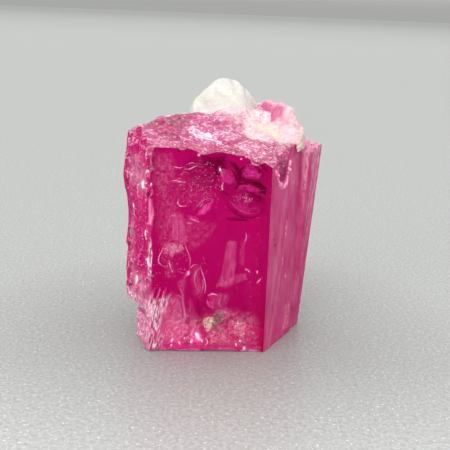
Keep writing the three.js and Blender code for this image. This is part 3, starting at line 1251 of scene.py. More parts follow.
# healed cracks with fine upright lines and pale edges
SILK_VEILS = [
    Veil([(-0.05, 5.7), (0.12, 5.6), (0.2, 5.0), (0.1, 4.6), (-0.05, 4.7)], -0.004, 0.5, 0.08, wave=0.0),
    Veil([(0.72, 5.2), (1.2, 5.1), (1.45, 4.1), (1.2, 3.9), (0.85, 4.1)], 0.14, 0.28, 0.15),
    Veil([(1.5, 3.1), (1.74, 3.34), (1.98, 2.4), (1.92, 1.9), (1.62, 2.1),
          (1.5, 2.6)], 0.1, 0.16, 0.15, 0.06),
    Veil([(1.0, 2.6), (1.3, 2.9), (1.45, 2.9), (1.35, 2.2), (1.4, 1.6), (1.3, 1.5),
          (1.15, 2.1)], 0.1, 0.2, 0.12),
    Veil([(0.45, 0.3), (0.45, 1.0), (0.57, 1.5), (0.76, 1.9), (0.95, 2.1), (1.15, 2.07), (1.27, 1.77),
          (1.34, 1.3), (1.33, 0.4)], 0.1, 0.3, 0.15),
    Veil([(1.4, 2.2), (1.62, 2.0), (1.9, 1.2), (1.95, 0.2), (1.45, 0.2), (1.38, 1.2)], 0.12, 0.18, 0.2),
    Veil([(2.72, 4.17), (3.12, 4.16), (3.12, 3.3), (3.06, 2.62), (2.75, 2.46), (2.34, 2.38), (2.56, 2.9),
          (2.62, 3.39)], 0.1, 0.24, 0.08),
    Veil([(2.4, 2.5), (2.95, 2.85), (3.2, 2.98), (3.5, 3.0), (3.56, 2.74), (3.26, 2.58),
          (2.7, 2.34)], 0.09, 0.2, 0.1),
    Veil([(3.22, 4.2), (3.42, 4.14), (3.4, 3.2), (3.2, 3.3)], 0.1, 0.14, 0.06, 0.05),
    Veil([(2.1, 2.0), (2.5, 2.3), (3.0, 2.2), (2.9, 1.75), (2.3, 1.6)], 0.08, 0.2, 0.2),
]

# broken strips with white upright lines along the front left edge
STREAK_FILMS = [
    Veil([(-0.02, 2.4), (0.3, 2.0), (0.9, 2.25), (0.7, 1.5), (0.5, 0.9), (0.45, 0.03),
          (-0.02, 0.03)], -0.004, 0.65, 0.18, wave=0.0),
    Veil([(-0.03, 4.3), (0.1, 4.3), (0.16, 3.5), (0.1, 2.5), (-0.03, 2.4)], -0.004, 0.6, 0.05, wave=0.0),
    Veil([(0.2, 1.2), (0.55, 1.1), (0.7, 0.6), (0.6, 0.05), (0.15, 0.05)], -0.005, 0.4, 0.15, wave=0.0),
]

# soft pale patches and spots on the right face: outline, cover and soft edge
RIGHT_PATCHES = [
    ([(1.75, 1.3), (2.5, 1.4), (2.52, 0.1), (1.6, 0.15)], 0.25, 0.3),
    ([(1.2, 6.9), (2.5, 7.2), (2.5, 5.8), (1.7, 5.6)], 0.15, 0.3),
    (oval((1.55, 4.3), (0.16, 0.42)), 0.4, 0.15),
    (oval((1.4, 3.1), (0.1, 0.25)), 0.35, 0.1),
    (oval((1.75, 2.4), (0.12, 0.2)), 0.3, 0.1),
    (oval((2.4, 5.9), (0.22, 0.14), 30.0), 0.3, 0.1),
]

# vivid pink flakes and crescents
VIVID_VEILS = [
    Veil([(1.6, 5.0), (1.66, 5.2), (1.86, 5.42), (2.08, 5.53), (2.22, 5.53), (2.13, 5.25),
          (1.93, 5.04)], 0.06, 0.9, 0.12),
    Veil([(1.3, 4.98), (1.55, 5.06), (1.8, 4.84), (1.6, 4.76), (1.35, 4.86)], 0.08, 0.35, 0.08),
    Veil([(2.36, 6.2), (2.42, 6.5), (2.6, 6.75), (2.8, 6.72), (2.95, 6.5), (3.04, 6.2),
          (2.75, 6.05)], 0.4, 0.6, 0.12),
    Veil([(2.36, 6.62), (2.5, 6.78), (2.66, 6.7), (2.62, 6.45), (2.5, 6.3), (2.42, 6.4)], 0.12, 0.6, 0.1),
    Veil([(3.12, 6.4), (3.2, 6.78), (3.5, 6.95), (3.8, 6.7), (3.84, 6.4), (3.5, 6.3)], 0.4, 0.6, 0.14),
    Veil([(2.95, 5.9), (3.1, 6.15), (3.5, 6.2), (4.0, 5.9), (3.7, 5.85), (3.3, 5.8)], 0.4, 0.45, 0.08),
    Veil([(2.85, 5.45), (3.1, 5.62), (3.5, 5.35), (3.95, 5.5), (3.75, 5.22), (3.35, 5.08),
          (3.05, 5.2)], 0.3, 0.35, 0.08),
    Veil([(1.5, 3.1), (1.5, 2.92), (1.38, 2.78), (1.26, 2.76), (1.28, 2.95), (1.42, 3.1)], 0.04, 0.9, 0.06),
    Veil([(2.08, 2.18), (2.3, 2.26), (2.5, 2.1), (2.35, 2.02), (2.15, 2.05)], 0.05, 0.5, 0.05),
    Veil([(2.1, 1.9), (2.32, 1.95), (2.4, 1.72), (2.2, 1.62)], 0.05, 0.45, 0.06),
    Veil([(1.4, 0.6), (1.75, 0.85), (2.05, 0.8), (2.2, 0.45), (1.9, 0.1), (1.4, 0.1)], 0.04, 0.8, 0.3),
    Veil([(0.4, 0.35), (1.0, 0.55), (1.4, 0.4), (1.4, 0.06), (0.4, 0.06)], 0.04, 0.45, 0.15),
    Veil([(0.3, 0.25), (1.5, 0.3), (2.6, 0.25), (4.2, 0.3), (4.2, 0.01),
          (0.3, 0.01)], 0.02, 0.45, 0.1, wave=0.0),
    Veil([(3.2, 4.5), (4.2, 4.5), (4.2, 0.4), (3.4, 0.4)], 0.3, 0.06, 0.3),
]

# dark red films and crescents inside the crystal: painted shade where little light comes through
SHADE_VEILS = [
    Veil([(1.3, 7.32), (1.9, 7.2), (2.7, 7.2), (2.75, 6.6), (2.5, 5.95), (2.0, 5.7), (1.4, 5.9),
          (1.0, 6.6)], 0.3, 0.45, 0.4),
    Veil([(1.6, 7.3), (2.7, 7.3), (2.8, 6.75), (2.2, 6.45), (1.65, 6.7)], 0.15, 0.75, 0.3),
    Veil([(2.66, 6.9), (2.95, 7.0), (3.16, 6.55), (3.12, 6.1), (2.98, 5.9), (3.0, 6.3),
          (2.88, 6.6)], 0.2, 0.6, 0.12),
    Veil([(3.05, 6.3), (3.3, 6.4), (3.85, 6.3), (4.15, 5.95), (3.7, 6.05), (3.3, 6.15)], 0.2, 0.45, 0.1),
    Veil([(2.6, 5.02), (3.1, 5.02), (3.7, 4.9), (3.1, 4.82), (2.7, 4.86)], 0.15, 0.4, 0.06),
    Veil([(3.0, 7.1), (4.2, 6.9), (4.2, 6.4), (3.85, 6.85), (3.3, 6.98)], 0.1, 0.5, 0.12),
    Veil([(3.2, 5.9), (3.8, 5.8), (4.2, 5.4), (3.75, 5.5), (3.3, 5.7)], 0.2, 0.45, 0.08),
    Veil([(3.6, 6.4), (4.2, 6.5), (4.2, 5.2), (3.95, 5.3), (4.0, 5.9)], 0.15, 0.3, 0.2),
    Veil([(2.3, 7.0), (4.2, 6.95), (4.2, 5.0), (3.0, 4.9), (2.3, 5.6)], 0.45, 0.3, 0.3),
    Veil([(1.7, 2.0), (1.86, 2.0), (1.97, 1.2), (1.8, 1.2)], 0.1, 0.25, 0.06),
    Veil([(0.45, 7.0), (1.3, 7.0), (1.3, 6.3), (0.95, 6.05),
          (0.6, 6.2)], ON_RIGHT, 0.5, 0.15, wave=0.0, side=Side.RIGHT),
]

# painted glints with a painted glow, low in the crystal: along, height and radius
PAINTED_GLINT_SPOTS = (
    (1.83, 0.57, 0.17), (1.76, 0.66, 0.08), (1.9, 0.47, 0.1), (0.9, 0.42, 0.1), (0.88, 0.22, 0.06),
    (1.17, 0.32, 0.08), (1.35, 0.5, 0.05), (1.6, 0.4, 0.09), (1.98, 0.4, 0.08), (3.22, 0.27, 0.07),
    (3.35, 0.42, 0.05), (3.52, 0.14, 0.09), (3.86, 3.02, 0.06), (3.45, 3.12, 0.03), (0.05, 6.1, 0.06),
    (2.4, 6.68, 0.05), (1.42, 2.95, 0.08),
)

# bright edges of small cracks, each with its width
CRACK_EDGES = [
    ([(0.76, 6.75), (0.89, 6.72), (1.02, 6.7), (1.12, 6.74)], 0.035),
    ([(1.3, 6.84), (1.41, 6.88), (1.52, 6.87)], 0.04),
    ([(1.24, 6.68), (1.33, 6.66), (1.47, 6.73), (1.66, 6.82)], 0.04),
    ([(0.71, 6.22), (0.86, 6.26), (1.04, 6.21), (1.22, 6.22)], 0.04),
    ([(1.02, 5.63), (0.98, 5.49), (1.07, 5.36), (1.35, 5.38)], 0.045),
    ([(1.4, 4.93), (1.6, 4.86), (1.76, 4.8)], 0.05),
    ([(1.3, 4.77), (1.47, 4.75)], 0.04),
    ([(2.53, 6.24), (2.49, 6.06), (2.53, 5.95)], 0.07),
    ([(2.37, 6.78), (2.4, 6.68), (2.45, 6.58)], 0.1),
    ([(0.64, 4.06), (0.48, 3.76), (0.36, 3.47), (0.4, 3.27), (0.6, 3.15)], 0.045),
    ([(0.73, 3.42), (0.76, 3.2), (0.87, 2.94)], 0.04),
    ([(1.82, 3.22), (1.95, 2.85), (2.04, 2.5), (2.02, 2.2)], 0.035),
    ([(3.4, 4.45), (3.41, 4.25), (3.37, 4.12)], 0.035),
    ([(3.86, 2.6), (4.0, 2.78)], 0.06),
    ([(3.5, 3.12), (3.6, 3.0)], 0.04),
    ([(0.58, 2.3), (0.5, 1.9), (0.4, 1.5)], 0.05),
    ([(1.55, 0.78), (1.65, 0.49), (1.61, 0.2)], 0.05),
    ([(2.09, 0.54), (2.19, 0.35), (2.06, 0.16)], 0.05),
    ([(2.15, 2.11), (2.31, 2.18), (2.49, 2.14)], 0.06),
]

# pale lines along the edges of the healed cracks, each with its width
SILK_LINES = [
    ([(0.74, 4.6), (0.72, 4.96), (0.86, 5.01), (1.03, 4.96)], 0.07),
    ([(0.8, 4.82), (0.85, 4.51), (0.84, 4.2)], 0.06),
    ([(0.98, 4.69), (1.01, 4.38), (0.95, 4.11)], 0.06),
    ([(1.23, 4.11), (1.34, 3.8), (1.47, 3.44), (1.44, 3.07)], 0.06),
    ([(1.85, 3.21), (1.68, 2.94), (1.65, 2.61), (1.81, 2.24)], 0.06),
    ([(1.93, 2.71), (1.96, 2.48), (1.9, 2.2)], 0.05),
    ([(1.44, 3.07), (1.56, 3.21), (1.67, 3.27)], 0.06),
    ([(0.42, 0.4), (0.45, 1.0), (0.57, 1.52), (0.76, 1.9), (0.95, 2.09)], 0.08),
    ([(0.95, 2.09), (1.15, 2.07), (1.27, 1.77), (1.34, 1.3), (1.28, 0.82), (1.33, 0.39)], 0.08),
    ([(0.76, 1.95), (0.68, 1.52), (0.56, 1.14)], 0.06),
    ([(1.03, 2.55), (1.19, 2.23), (1.29, 1.91)], 0.06),
    ([(0.66, 2.46), (0.58, 2.08), (0.45, 1.75), (0.37, 1.33)], 0.09),
    ([(0.44, 2.41), (0.36, 2.08), (0.23, 1.7), (0.15, 1.28)], 0.09),
    ([(0.26, 2.4), (0.18, 2.08), (0.1, 1.75)], 0.08),
    ([(0.63, 1.8), (0.51, 1.38), (0.38, 0.86), (0.35, 0.38)], 0.08),
    ([(2.11, 1.97), (2.19, 1.73), (2.41, 1.64)], 0.08),
    ([(2.58, 1.97), (2.54, 1.78), (2.66, 1.65)], 0.06),
    ([(1.5, 5.2), (1.9, 5.6), (2.2, 5.62)], 0.04),
]

# vivid arcs between the cracks
VIVID_ARCS = [
    Ribbon([(2.75, 5.6), (3.0, 5.35), (3.4, 5.15), (3.8, 5.2)], 0.07),
    Ribbon([(3.2, 6.45), (3.5, 6.5), (3.8, 6.4)], 0.07),
    Ribbon([(2.38, 6.75), (2.43, 6.5), (2.6, 6.3), (2.8, 6.25)], 0.07),
    Ribbon([(3.05, 6.1), (3.4, 6.12), (3.8, 6.0)], 0.06),
    Ribbon([(3.3, 6.85), (3.6, 6.88), (3.85, 6.75)], 0.06),
    Ribbon([(1.3, 5.02), (1.5, 4.98), (1.75, 4.9)], 0.08),
]

# dark arcs between the cracks: painted shade
SHADE_ARCS = [
    Ribbon([(2.62, 6.98), (2.86, 6.88), (3.06, 6.6), (3.1, 6.2), (2.94, 5.98)], 0.2, 0.9, 0.12),
    Ribbon([(3.08, 6.34), (3.45, 6.32), (3.85, 6.17), (4.12, 5.9)], 0.15, 0.8, 0.12),
    Ribbon([(3.02, 5.98), (3.5, 5.88), (3.95, 5.62)], 0.12, 0.7, 0.12),
    Ribbon([(2.62, 5.52), (2.88, 5.22), (3.3, 5.0), (3.75, 5.05), (4.1, 5.38)], 0.12, 0.75, 0.12),
    Ribbon([(2.69, 4.93), (3.1, 4.9), (3.5, 4.89)], 0.08, 0.8, 0.1),
    Ribbon([(3.35, 6.98), (3.8, 6.87), (4.08, 6.6)], 0.15, 0.8, 0.12),
    Ribbon([(2.28, 6.15), (2.5, 5.93), (2.8, 5.72)], 0.1, 0.6, 0.12),
    Ribbon([(2.3, 6.9), (2.28, 6.6), (2.34, 6.3)], 0.12, 0.6, 0.12),
]

# white grains that paint glints of light: along, height and half size
PAINTED_GLINTS = (
    (3.86, 3.02, 0.035), (3.5, 3.1, 0.02), (3.6, 3.02, 0.02), (3.62, 2.64, 0.03), (2.73, 3.29, 0.02),
    (1.93, 3.53, 0.025), (1.99, 3.31, 0.025), (0.9, 0.42, 0.04), (0.9, 0.22, 0.04), (1.17, 0.34, 0.03),
    (1.83, 0.58, 0.05), (3.22, 0.25, 0.05), (3.35, 0.42, 0.04), (3.5, 0.14, 0.04), (0.55, 6.2, 0.022),
    (2.64, 5.36, 0.02), (3.28, 4.77, 0.02), (4.05, 5.03, 0.02), (3.76, 5.01, 0.018),
)

# clouds of pale specks: number, middle, half sizes, greatest depth and half size of a speck
DUST_CLOUDS = (
    (230, (1.75, 6.15), (0.85, 0.85), 0.06, 0.026),
    (60, (0.9, 3.85), (0.34, 0.18), 0.05, 0.03),
    (50, (0.5, 6.3), (0.35, 0.9), 0.08, 0.026),
    (46, (3.22, 5.68), (0.34, 0.2), 0.05, 0.03),
    (130, (2.1, 3.6), (2.0, 3.3), 0.12, 0.022),
    (60, (0.9, 4.0), (0.6, 1.3), 0.08, 0.028),
    (20, (2.9, 0.5), (0.7, 0.4), 0.05, 0.03),
)

# clusters of clay: along, height, radius and number of grains
CREAM_CLAY = ((2.18, 1.1, 0.18, 130), (2.3, 1.2, 0.07, 40), (2.2, 0.88, 0.1, 30), (3.35, 0.9, 0.25, 30))
OLIVE_CLAY = ((2.25, 1.06, 0.2, 45), (2.55, 1.3, 0.2, 130), (2.4, 1.05, 0.1, 60), (2.62, 0.85, 0.15, 30),
              (3.3, 0.75, 0.22, 20))


@dataclass(frozen=True)
class Inclusions:
    """Everything sealed in the crystal behind its front and right faces."""

    seed: int = 21
    upright: Triple = (1.0, 1.0, 5.0)
    dust_from: float = 0.03
    glint_depth: float = 0.05
    specks: int = 9
    speck_size: float = 0.022
    speck_field: tuple[Pair, Pair] = ((0.4, 0.62), (3.85, 4.15))
    speck_depth: float = -0.015
    clay_from: float = 0.02
    clay_depth: float = 0.07
    clay_sizes: Pair = (0.02, 0.045)

    def veils(self) -> list[tuple[list, VeilFinish]]:
        """Parts and finish of every kind of veil."""
        right = [Veil(patch, ON_RIGHT, *more, wave=0.0, side=Side.RIGHT) for patch, *more in RIGHT_PATCHES]
        silk = [Ribbon(*line, cover=0.55, depth=0.06) for line in SILK_LINES]
        edges = [Ribbon(*line, cover=1.0, depth=0.04) for line in CRACK_EDGES]
        # bright spots that stand for glints: painted highlights with a painted glow
        glow = []
        for along, height, size in PAINTED_GLINT_SPOTS:
            outline = oval((along, height), (0.75 * size, 1.2 * size), 20.0 * math.sin(9 * along))
            glow.append(Veil(outline, depth=0.015, cover=1.0, soft=0.75 * size))
        pale, soft, bright = (1.0, 0.75, 0.88), (1.0, 0.55, 0.75), (1.0, 0.85, 0.92)
        # the emission these finishes set is a painted glow in the films
        dusty = VeilFinish("dust_veil", (1.0, 0.6, 0.72), (1.0, 0.3, 0.5), 0.13, painted_glow=0.2)
        vivid = VeilFinish("vivid_veil", (1.0, 0.2, 0.55), (1.0, 0.06, 0.42), contrast=(0.3, 0.7))
        dark = VeilFinish("painted_shade_veil", (0.12, 0.0, 0.02), (0.2, 0.0, 0.03), 0.26, contrast=(0.2, 0.8))
        silky = VeilFinish("silk_veil", soft, (1.0, 0.22, 0.5), 0.1, self.upright, 6.0, (0.3, 0.7))
        streaky = VeilFinish("streak_film", (0.98, 0.86, 0.94), (0.9, 0.25, 0.55), 0.045, self.upright, 8.0)
        return [
            (DUST_VEILS + right, dusty),
            (SILK_VEILS + silk, replace(silky, least=0.5, most=1.4, painted_glow=0.3)),
            (STREAK_FILMS, replace(streaky, contrast=(0.42, 0.66), least=0.12, most=1.3)),
            (VIVID_VEILS + VIVID_ARCS, replace(vivid, least=0.5, most=1.2, painted_glow=0.25)),
            (glow, VeilFinish("painted_glint_glow", bright, soft, 0.2, least=0.9, painted_glow=0.6)),
            (edges, VeilFinish("crack_edge", pale, (1.0, 0.45, 0.7), 0.07, least=0.3, most=1.8, painted_glow=0.35)),
            # dark films and arcs: painted shade inside the crystal
            (SHADE_VEILS + SHADE_ARCS, replace(dark, least=0.65, most=1.05)),
        ]

    def dust(self) -> Object:
        """Pale specks: dense clouds high on the left, one small cloud on the right, few elsewhere."""
        draw = random.Random(self.seed)
        places = []
        for count, middle, half, depth, size in DUST_CLOUDS:
            for _ in range(count):
                away, angle = math.sqrt(draw.random()), draw.uniform(0, math.tau)
                along = middle[0] + half[0] * away * math.cos(angle)
                height = middle[1] + half[1] * away * math.sin(angle)
                spot = Side.FRONT.spot(along, height, draw.uniform(self.dust_from, depth))
                places.append((spot, size * draw.uniform(0.5, 1.3)))
        return grains("pale_specks", places, draw)

    def glints(self) -> Object:
        """Few white grains that paint glints of light."""
        places = [(Side.FRONT.spot(*place, self.glint_depth), size) for *place, size in PAINTED_GLINTS]
        return grains("painted_glint_specks", places, random.Random(self.seed))

    def right_specks(self) -> Object:
        """Few dark specks on the right face."""
        draw = random.Random(self.seed + 1)
        places = []
        for _ in range(self.specks):
            place = [draw.uniform(*limits) for limits in self.speck_field]
            places.append((Side.RIGHT.spot(*place, self.speck_depth), self.speck_size))
        return grains("dark_specks", places, draw)

    def clay(self, name: str, clusters: tuple) -> Object:
        """Grainy clay just behind the front face.

        Args:
            name: name of the piece.
            clusters: place along and up the face, radius and number of grains of each cluster.

        Returns:
            The grains in millimetres.
        """
        draw = random.Random(self.seed + 2)
        places = []
        for along, height, radius, count in clusters:
            for _ in range(count):
                away, angle = radius * math.sqrt(draw.random()), draw.uniform(0, math.tau)
                place = along + away * math.cos(angle), height + 1.2 * away * math.sin(angle)
                spot = Side.FRONT.spot(*place, self.clay_from + self.clay_depth * draw.random())
                places.append((spot, draw.uniform(*self.clay_sizes)))
        return grains(name, places, draw)

    def build(self) -> None:
        """Makes and dresses all inclusions."""
        for parts, look in self.veils():
            finish(join([part.build() for part in parts], look.name + "s"), look.make())
        # the clay and the pink dust have a weak painted glow
        cream = GrainFinish("cream_clay", (1.0, 0.92, 0.78), (0.85, 0.56, 0.44), 0.7, 0.17)
        olive = GrainFinish("olive_clay", (0.66, 0.47, 0.35), (0.36, 0.2, 0.16), 0.7, 0.05)
        for piece, look in (
            # white grains as painted glints
            (self.glints(), GrainFinish("painted_glint_grains", (1.0, 0.75, 0.88), (0.95, 0.4, 0.65))),
            (self.dust(), GrainFinish("pink_dust", (1.0, 0.5, 0.72), (0.95, 0.16, 0.45), painted_glow=0.08)),
            (self.right_specks(), GrainFinish("dark_dust", (0.12, 0.02, 0.05), (0.03, 0.0, 0.01))),
            (self.clay(cream.name, CREAM_CLAY), cream),
            (self.clay(olive.name, OLIVE_CLAY), olive),
        ):
            finish(piece, look.make())


# ---------------------------------------------------------------- what clings to the crystal


@dataclass(frozen=True)
class RockRemain:
    """One patch of host rock, made from its frame node."""

    node: str
    name: str
    finish: RockFinish
    zones: list[Zone]
    sink: float
    cell: float = 0.03
    lump: float = 0.3
    relief: float = 0.12
    grain: float = 0.12
    grit: float = 0.05

    def build(self) -> Object:
        """Makes the rock's surface in millimetres."""
        piece = copy_of_node(self.node, self.name)
        remesh(piece, self.cell)
        roughen(piece, Relief.WAVES, self.lump, self.relief, noise_depth=3)
        roughen(piece, Relief.SHELLS, self.grain, self.grit)
        for vertex in piece.data.vertices:
            vertex.co.z -= self.sink
        paint_zones(piece, self.zones, ROCK_MARKS)
        return piece

    def dress(self, piece: Object) -> None:
        """Gives the rock its finish and its place."""
        finish(piece, self.finish.make(), self.finish.name, self.node, ROCK_SMOOTH_ANGLE)


@dataclass(frozen=True)
class Crumbs:
    """Small frosted crumbs of beryl clinging to the broken edges."""

    edge: tuple = (
        (-0.76, -2.15, 7.25, 0.035), (-0.88, -2.33, 7.16, 0.045), (0.56, -2.22, 7.06, 0.04),
        (0.72, -2.2, 7.14, 0.03), (1.57, -1.67, 7.05, 0.05), (1.29, -1.71, 7.12, 0.035),
        (1.85, -1.3, 6.85, 0.04), (1.1, -2.1, 7.0, 0.035),
    )
    notch: tuple = (
        (0.3, 6.62), (0.45, 6.4), (0.69, 6.12), (0.88, 5.97), (1.07, 5.94), (1.3, 6.1), (1.45, 6.45),
        (1.55, 6.8),
    )
    notch_sizes: Pair = (0.025, 0.075)
    scatter: float = 0.035
    head: int = 26
    head_field: tuple[Pair, Pair, Pair] = ((2.7, 3.5), (0.35, 1.3), (6.95, 7.2))
    head_sizes: Pair = (0.03, 0.08)
    seed: int = 4

    def build(self) -> Object:
        """Makes all crumbs as one piece in millimetres."""
        draw = random.Random(self.seed)
        spots = list(self.edge)
        for spot in smooth_line(list(self.notch), 0.0, Side.RIGHT, 9):
            spot += Vector([draw.uniform(-self.scatter, self.scatter) for _ in range(3)])
            spots.append((*spot, draw.uniform(*self.notch_sizes)))
        for _ in range(self.head):
            spots.append([draw.uniform(*limits) for limits in (*self.head_field, self.head_sizes)])
        made = []
        for *place, size in spots:
            crumb = add(bpy.ops.mesh.primitive_ico_sphere_add, place, subdivisions=2, radius=size)
            apply_place(crumb)
            roughen(crumb, Relief.SHELLS, size=0.06, height=0.07)
            made.append(crumb)
        return join(made, "crumbs")

    def dress(self, piece: Object) -> None:
        """Gives the crumbs their finish and their place."""
        finish(piece, GrainFinish("beryl_crumbs", (1.0, 0.45, 0.66), (0.82, 0.16, 0.4)).make())


@dataclass(frozen=True)
class Studio:
    """Pale table, soft light and the camera; lengths in millimetres."""

    aim: Triple = (0.097, -2.1485, 4.699)
    distance: float = 30.63
    elevation: float = 14.0
    roll: float = 2.3
    lens: float = 70.0
    sensor: float = 36.0
    horizon: float = 0.4
    room: float = 0.585
    overhead: float = 1.5
    room_tint: Triple = (0.985, 1.0, 0.98)
    lamp_energy: float = 1.6
    lamp_width: float = 50.0
    lamp_from: Triple = (-0.3, -0.8, 0.55)
    table_radius: float = 1500.0
    table_drop: float = 0.02
    table_tone: Triple = (0.9, 0.91, 0.9)
    shade: float = 0.72
    bounces: int = 32

    def camera(self) -> None:
        """Sets the camera up."""
        data = bpy.data.cameras.new("camera")
        data.lens = self.lens
        data.sensor_width = self.sensor
        data.clip_start = 0.001
        data.clip_end = 10.0
        camera = to_scene("camera", data)
        tilt = math.radians(self.elevation)
        sight = Vector((0.0, math.cos(tilt), -math.sin(tilt)))
        camera.location = (Vector(self.aim) - sight * self.distance) * MM
        turned = Matrix.Rotation(math.radians(90.0 - self.elevation), 4, "X")
        turned = turned @ Matrix.Rotation(math.radians(self.roll), 4, "Z")
        camera.rotation_euler = turned.to_euler()
        bpy.context.scene.camera = camera

    def table(self) -> None:
        """Makes the pale, slightly glossy, grainy table; its colour paints a shadow close to the crystal,
        shade far away, light in front and sparkle.
        """
        radius, low = self.table_radius * MM, (0.0, 0.0, -self.table_drop * MM)
        table = add(bpy.ops.mesh.primitive_circle_add, low, vertices=96, radius=radius, fill_type="NGON")
        table.name = "table"
        shader = Shader("table_pale")
        shader.set(Roughness=0.34)
        grain = shader.noise(shader.scaled(0.14), 3.0)
        # bright flecks in the grain are painted sparkle
        painted_sparkle = shader.span(shader.noise(shader.scaled(0.09), 1.0), 0.62, 0.72)
        tone = shader.maths("MAXIMUM", shader.span(grain, 0.3, 0.7, 0.38, 0.58), painted_sparkle)
        away = shader.new("VectorMath")
        away.operation = "LENGTH"
        shader.put(away.inputs[0], shader.place)
        # painted shadow of the crystal: the table is darker within a few millimetres of it
        painted_shadow = shader.span(away.outputs["Value"], 1.5 * MM, 11.0 * MM, self.shade, 1.0)
        # painted shade: the table darkens far away, towards the horizon
        far = shader.span(away.outputs["Value"], 0.3, 1.0, 1.0, 0.55)
        parts = shader.new("SeparateXYZ", Vector=shader.place)
        # painted light: the table is brighter towards the camera
        front = shader.span(parts.outputs["Y"], -14.0 * MM, -3.0 * MM, 1.26, 1.0)
        tone = shader.product(tone, shader.product(front, shader.product(painted_shadow, far)))
        shader.set(Base_Color=shader.blend(tone, (0.0, 0.0, 0.0), self.table_tone))
        shader.bump(grain, 0.008, 0.5)
        table.data.materials.append(shader.material)

    def light(self) -> None:
        """Sets the world, brighter overhead, and one broad soft lamp from the upper left front."""
        world = bpy.data.worlds.new("room")
        bpy.context.scene.world = world
        world.use_nodes = True
        nodes, links = world.node_tree.nodes, world.node_tree.links
        kinds = ("TexCoord", "SeparateXYZ", "ValToRGB")
        place, parts, ramp = (nodes.new(f"ShaderNode{kind}") for kind in kinds)
        ramp.color_ramp.interpolation = "EASE"
        stops = ((0.0, self.horizon), (0.04, self.room), (0.3, self.room), (1.0, self.overhead))
        while len(ramp.color_ramp.elements) < len(stops):
            ramp.color_ramp.elements.new(0.5)
        for element, (position, level) in zip(ramp.color_ramp.elements, stops):
            element.position = position
            element.color = (*(level * share for share in self.room_tint), 1.0)
        links.new(place.outputs["Generated"], parts.inputs["Vector"])
        links.new(parts.outputs["Z"], ramp.inputs["Fac"])
        links.new(ramp.outputs["Color"], nodes["Background"].inputs["Color"])
        data = bpy.data.lights.new("soft_lamp", "SUN")
        data.energy = self.lamp_energy
        data.angle = math.radians(self.lamp_width)
        lamp = to_scene("soft_lamp", data)
        lamp.rotation_euler = Vector(self.lamp_from).to_track_quat("Z", "Y").to_euler()

    def build(self) -> None:
        """Makes the whole studio."""
        self.camera()
        self.table()
        self.light()
        scene = bpy.context.scene
        scene.view_settings.view_transform = "Standard"
        scene.cycles.max_bounces = self.bounces
        scene.cycles.transmission_bounces = self.bounces
        scene.cycles.transparent_max_bounces = self.bounces


# ---------------------------------------------------------------- what is where

CRACKS = [
    InnerCrack(2.7, 6.35, 1.0, 20.0, -55.0, (0.34, 0.5), 0.1),
    InnerCrack(3.5, 6.45, 0.95, -15.0, -52.0, (0.4, 0.42), 0.1),
    InnerCrack(3.6, 5.8, 1.1, -5.0, -50.0, (0.55, 0.45), 0.12),
]

TOP_ZONES = [
    # the white flake behind the front face
    Zone("white", [(-1.47, -1.39), (-1.2, -1.12), (-0.82, -1.02), (-0.7, -1.14), (-0.38, -1.16),
                   (-0.12, -1.5), (0.02, -1.84), (-0.39, -1.87), (-0.72, -1.7), (-1.24, -1.71)], 0.9, 0.06),
    Zone("white", [(0.3, -1.3), (1.0, -1.25), (1.6, -1.5), (1.5, -1.9), (0.8, -2.0),
                   (0.3, -1.8)], 0.2, 0.2),
    Zone("white", [(-0.4, -0.9), (0.5, -0.85), (0.9, -1.2), (0.2, -1.4), (-0.3, -1.2)], 0.4, 0.2),
    # dark red glassy rim at the upper left
    Zone("stained", [(-3.4, 0.2), (-2.9, -1.3), (-2.4, -1.75), (-1.6, -1.75), (-1.4, -1.45),
                     (-1.25, -1.1), (-0.9, -0.7), (-0.9, 0.4)], 0.9, 0.25),
    Zone("stained", [(-0.1, -1.9), (0.1, -1.65), (0.5, -1.6), (0.55, -1.85), (0.3, -2.0)], 0.9, 0.08),
    Zone("stained", [(0.9, -0.95), (1.5, -0.9), (1.6, -1.3), (1.0, -1.3)], 0.5, 0.15),
    # cream stain around the crust
    Zone("creamy", [(0.45, -0.75), (1.2, -1.25), (2.0, -1.1), (2.45, -0.6), (3.1, 0.0), (3.1, 1.2),
                    (0.6, 1.2)], 0.75, 0.35),
    Zone("creamy", [(-0.5, -0.5), (0.5, -0.9), (0.9, 0.0), (1.6, 1.4), (-0.5, 0.8)], 0.6, 0.4),
    Zone("creamy", [(-2.4, 0.5), (-1.2, 0.4), (-1.2, 1.4), (-2.4, 1.4)], 0.7, 0.2),
]

# white spots on the left side that paint glints of light: along and height
PAINTED_LEFT_GLINTS = ((1.39, 5.95), (1.85, 4.23), (2.02, 3.73), (2.06, 3.3), (2.08, 2.84), (0.9, 2.3), (0.5, 4.9))

LEFT_ZONES = [
    Zone("white", [(0.0, 7.0), (1.4, 7.1), (1.9, 6.2), (1.8, 5.5), (0.6, 5.5),
                   (0.0, 6.2)], 0.24, 0.4, Side.LEFT),
    Zone("white", [(0.0, 2.9), (2.2, 2.7), (2.2, 1.4), (0.0, 1.4)], 0.25, 0.5, Side.LEFT),
    Zone("white", [(-0.05, 4.6), (0.55, 4.4), (0.6, 2.2), (-0.05, 2.2)], 0.2, 0.2, Side.LEFT),
    # painted glints
    *[Zone("white", oval(spot, (0.11, 0.19)), 3.0, 0.05, Side.LEFT) for spot in PAINTED_LEFT_GLINTS],
]

GROWTH_ZONES = [Zone("white", [(2.2, 6.9), (5.0, 6.9), (5.0, 9.0), (2.2, 9.0)], 0.45, 0.3, Side.RIGHT)]

CAP_ZONES = [Zone("rosy", [(0.6, 0.4), (1.5, 0.4), (1.5, 1.6), (0.65, 1.35)], 0.45, 0.5)]

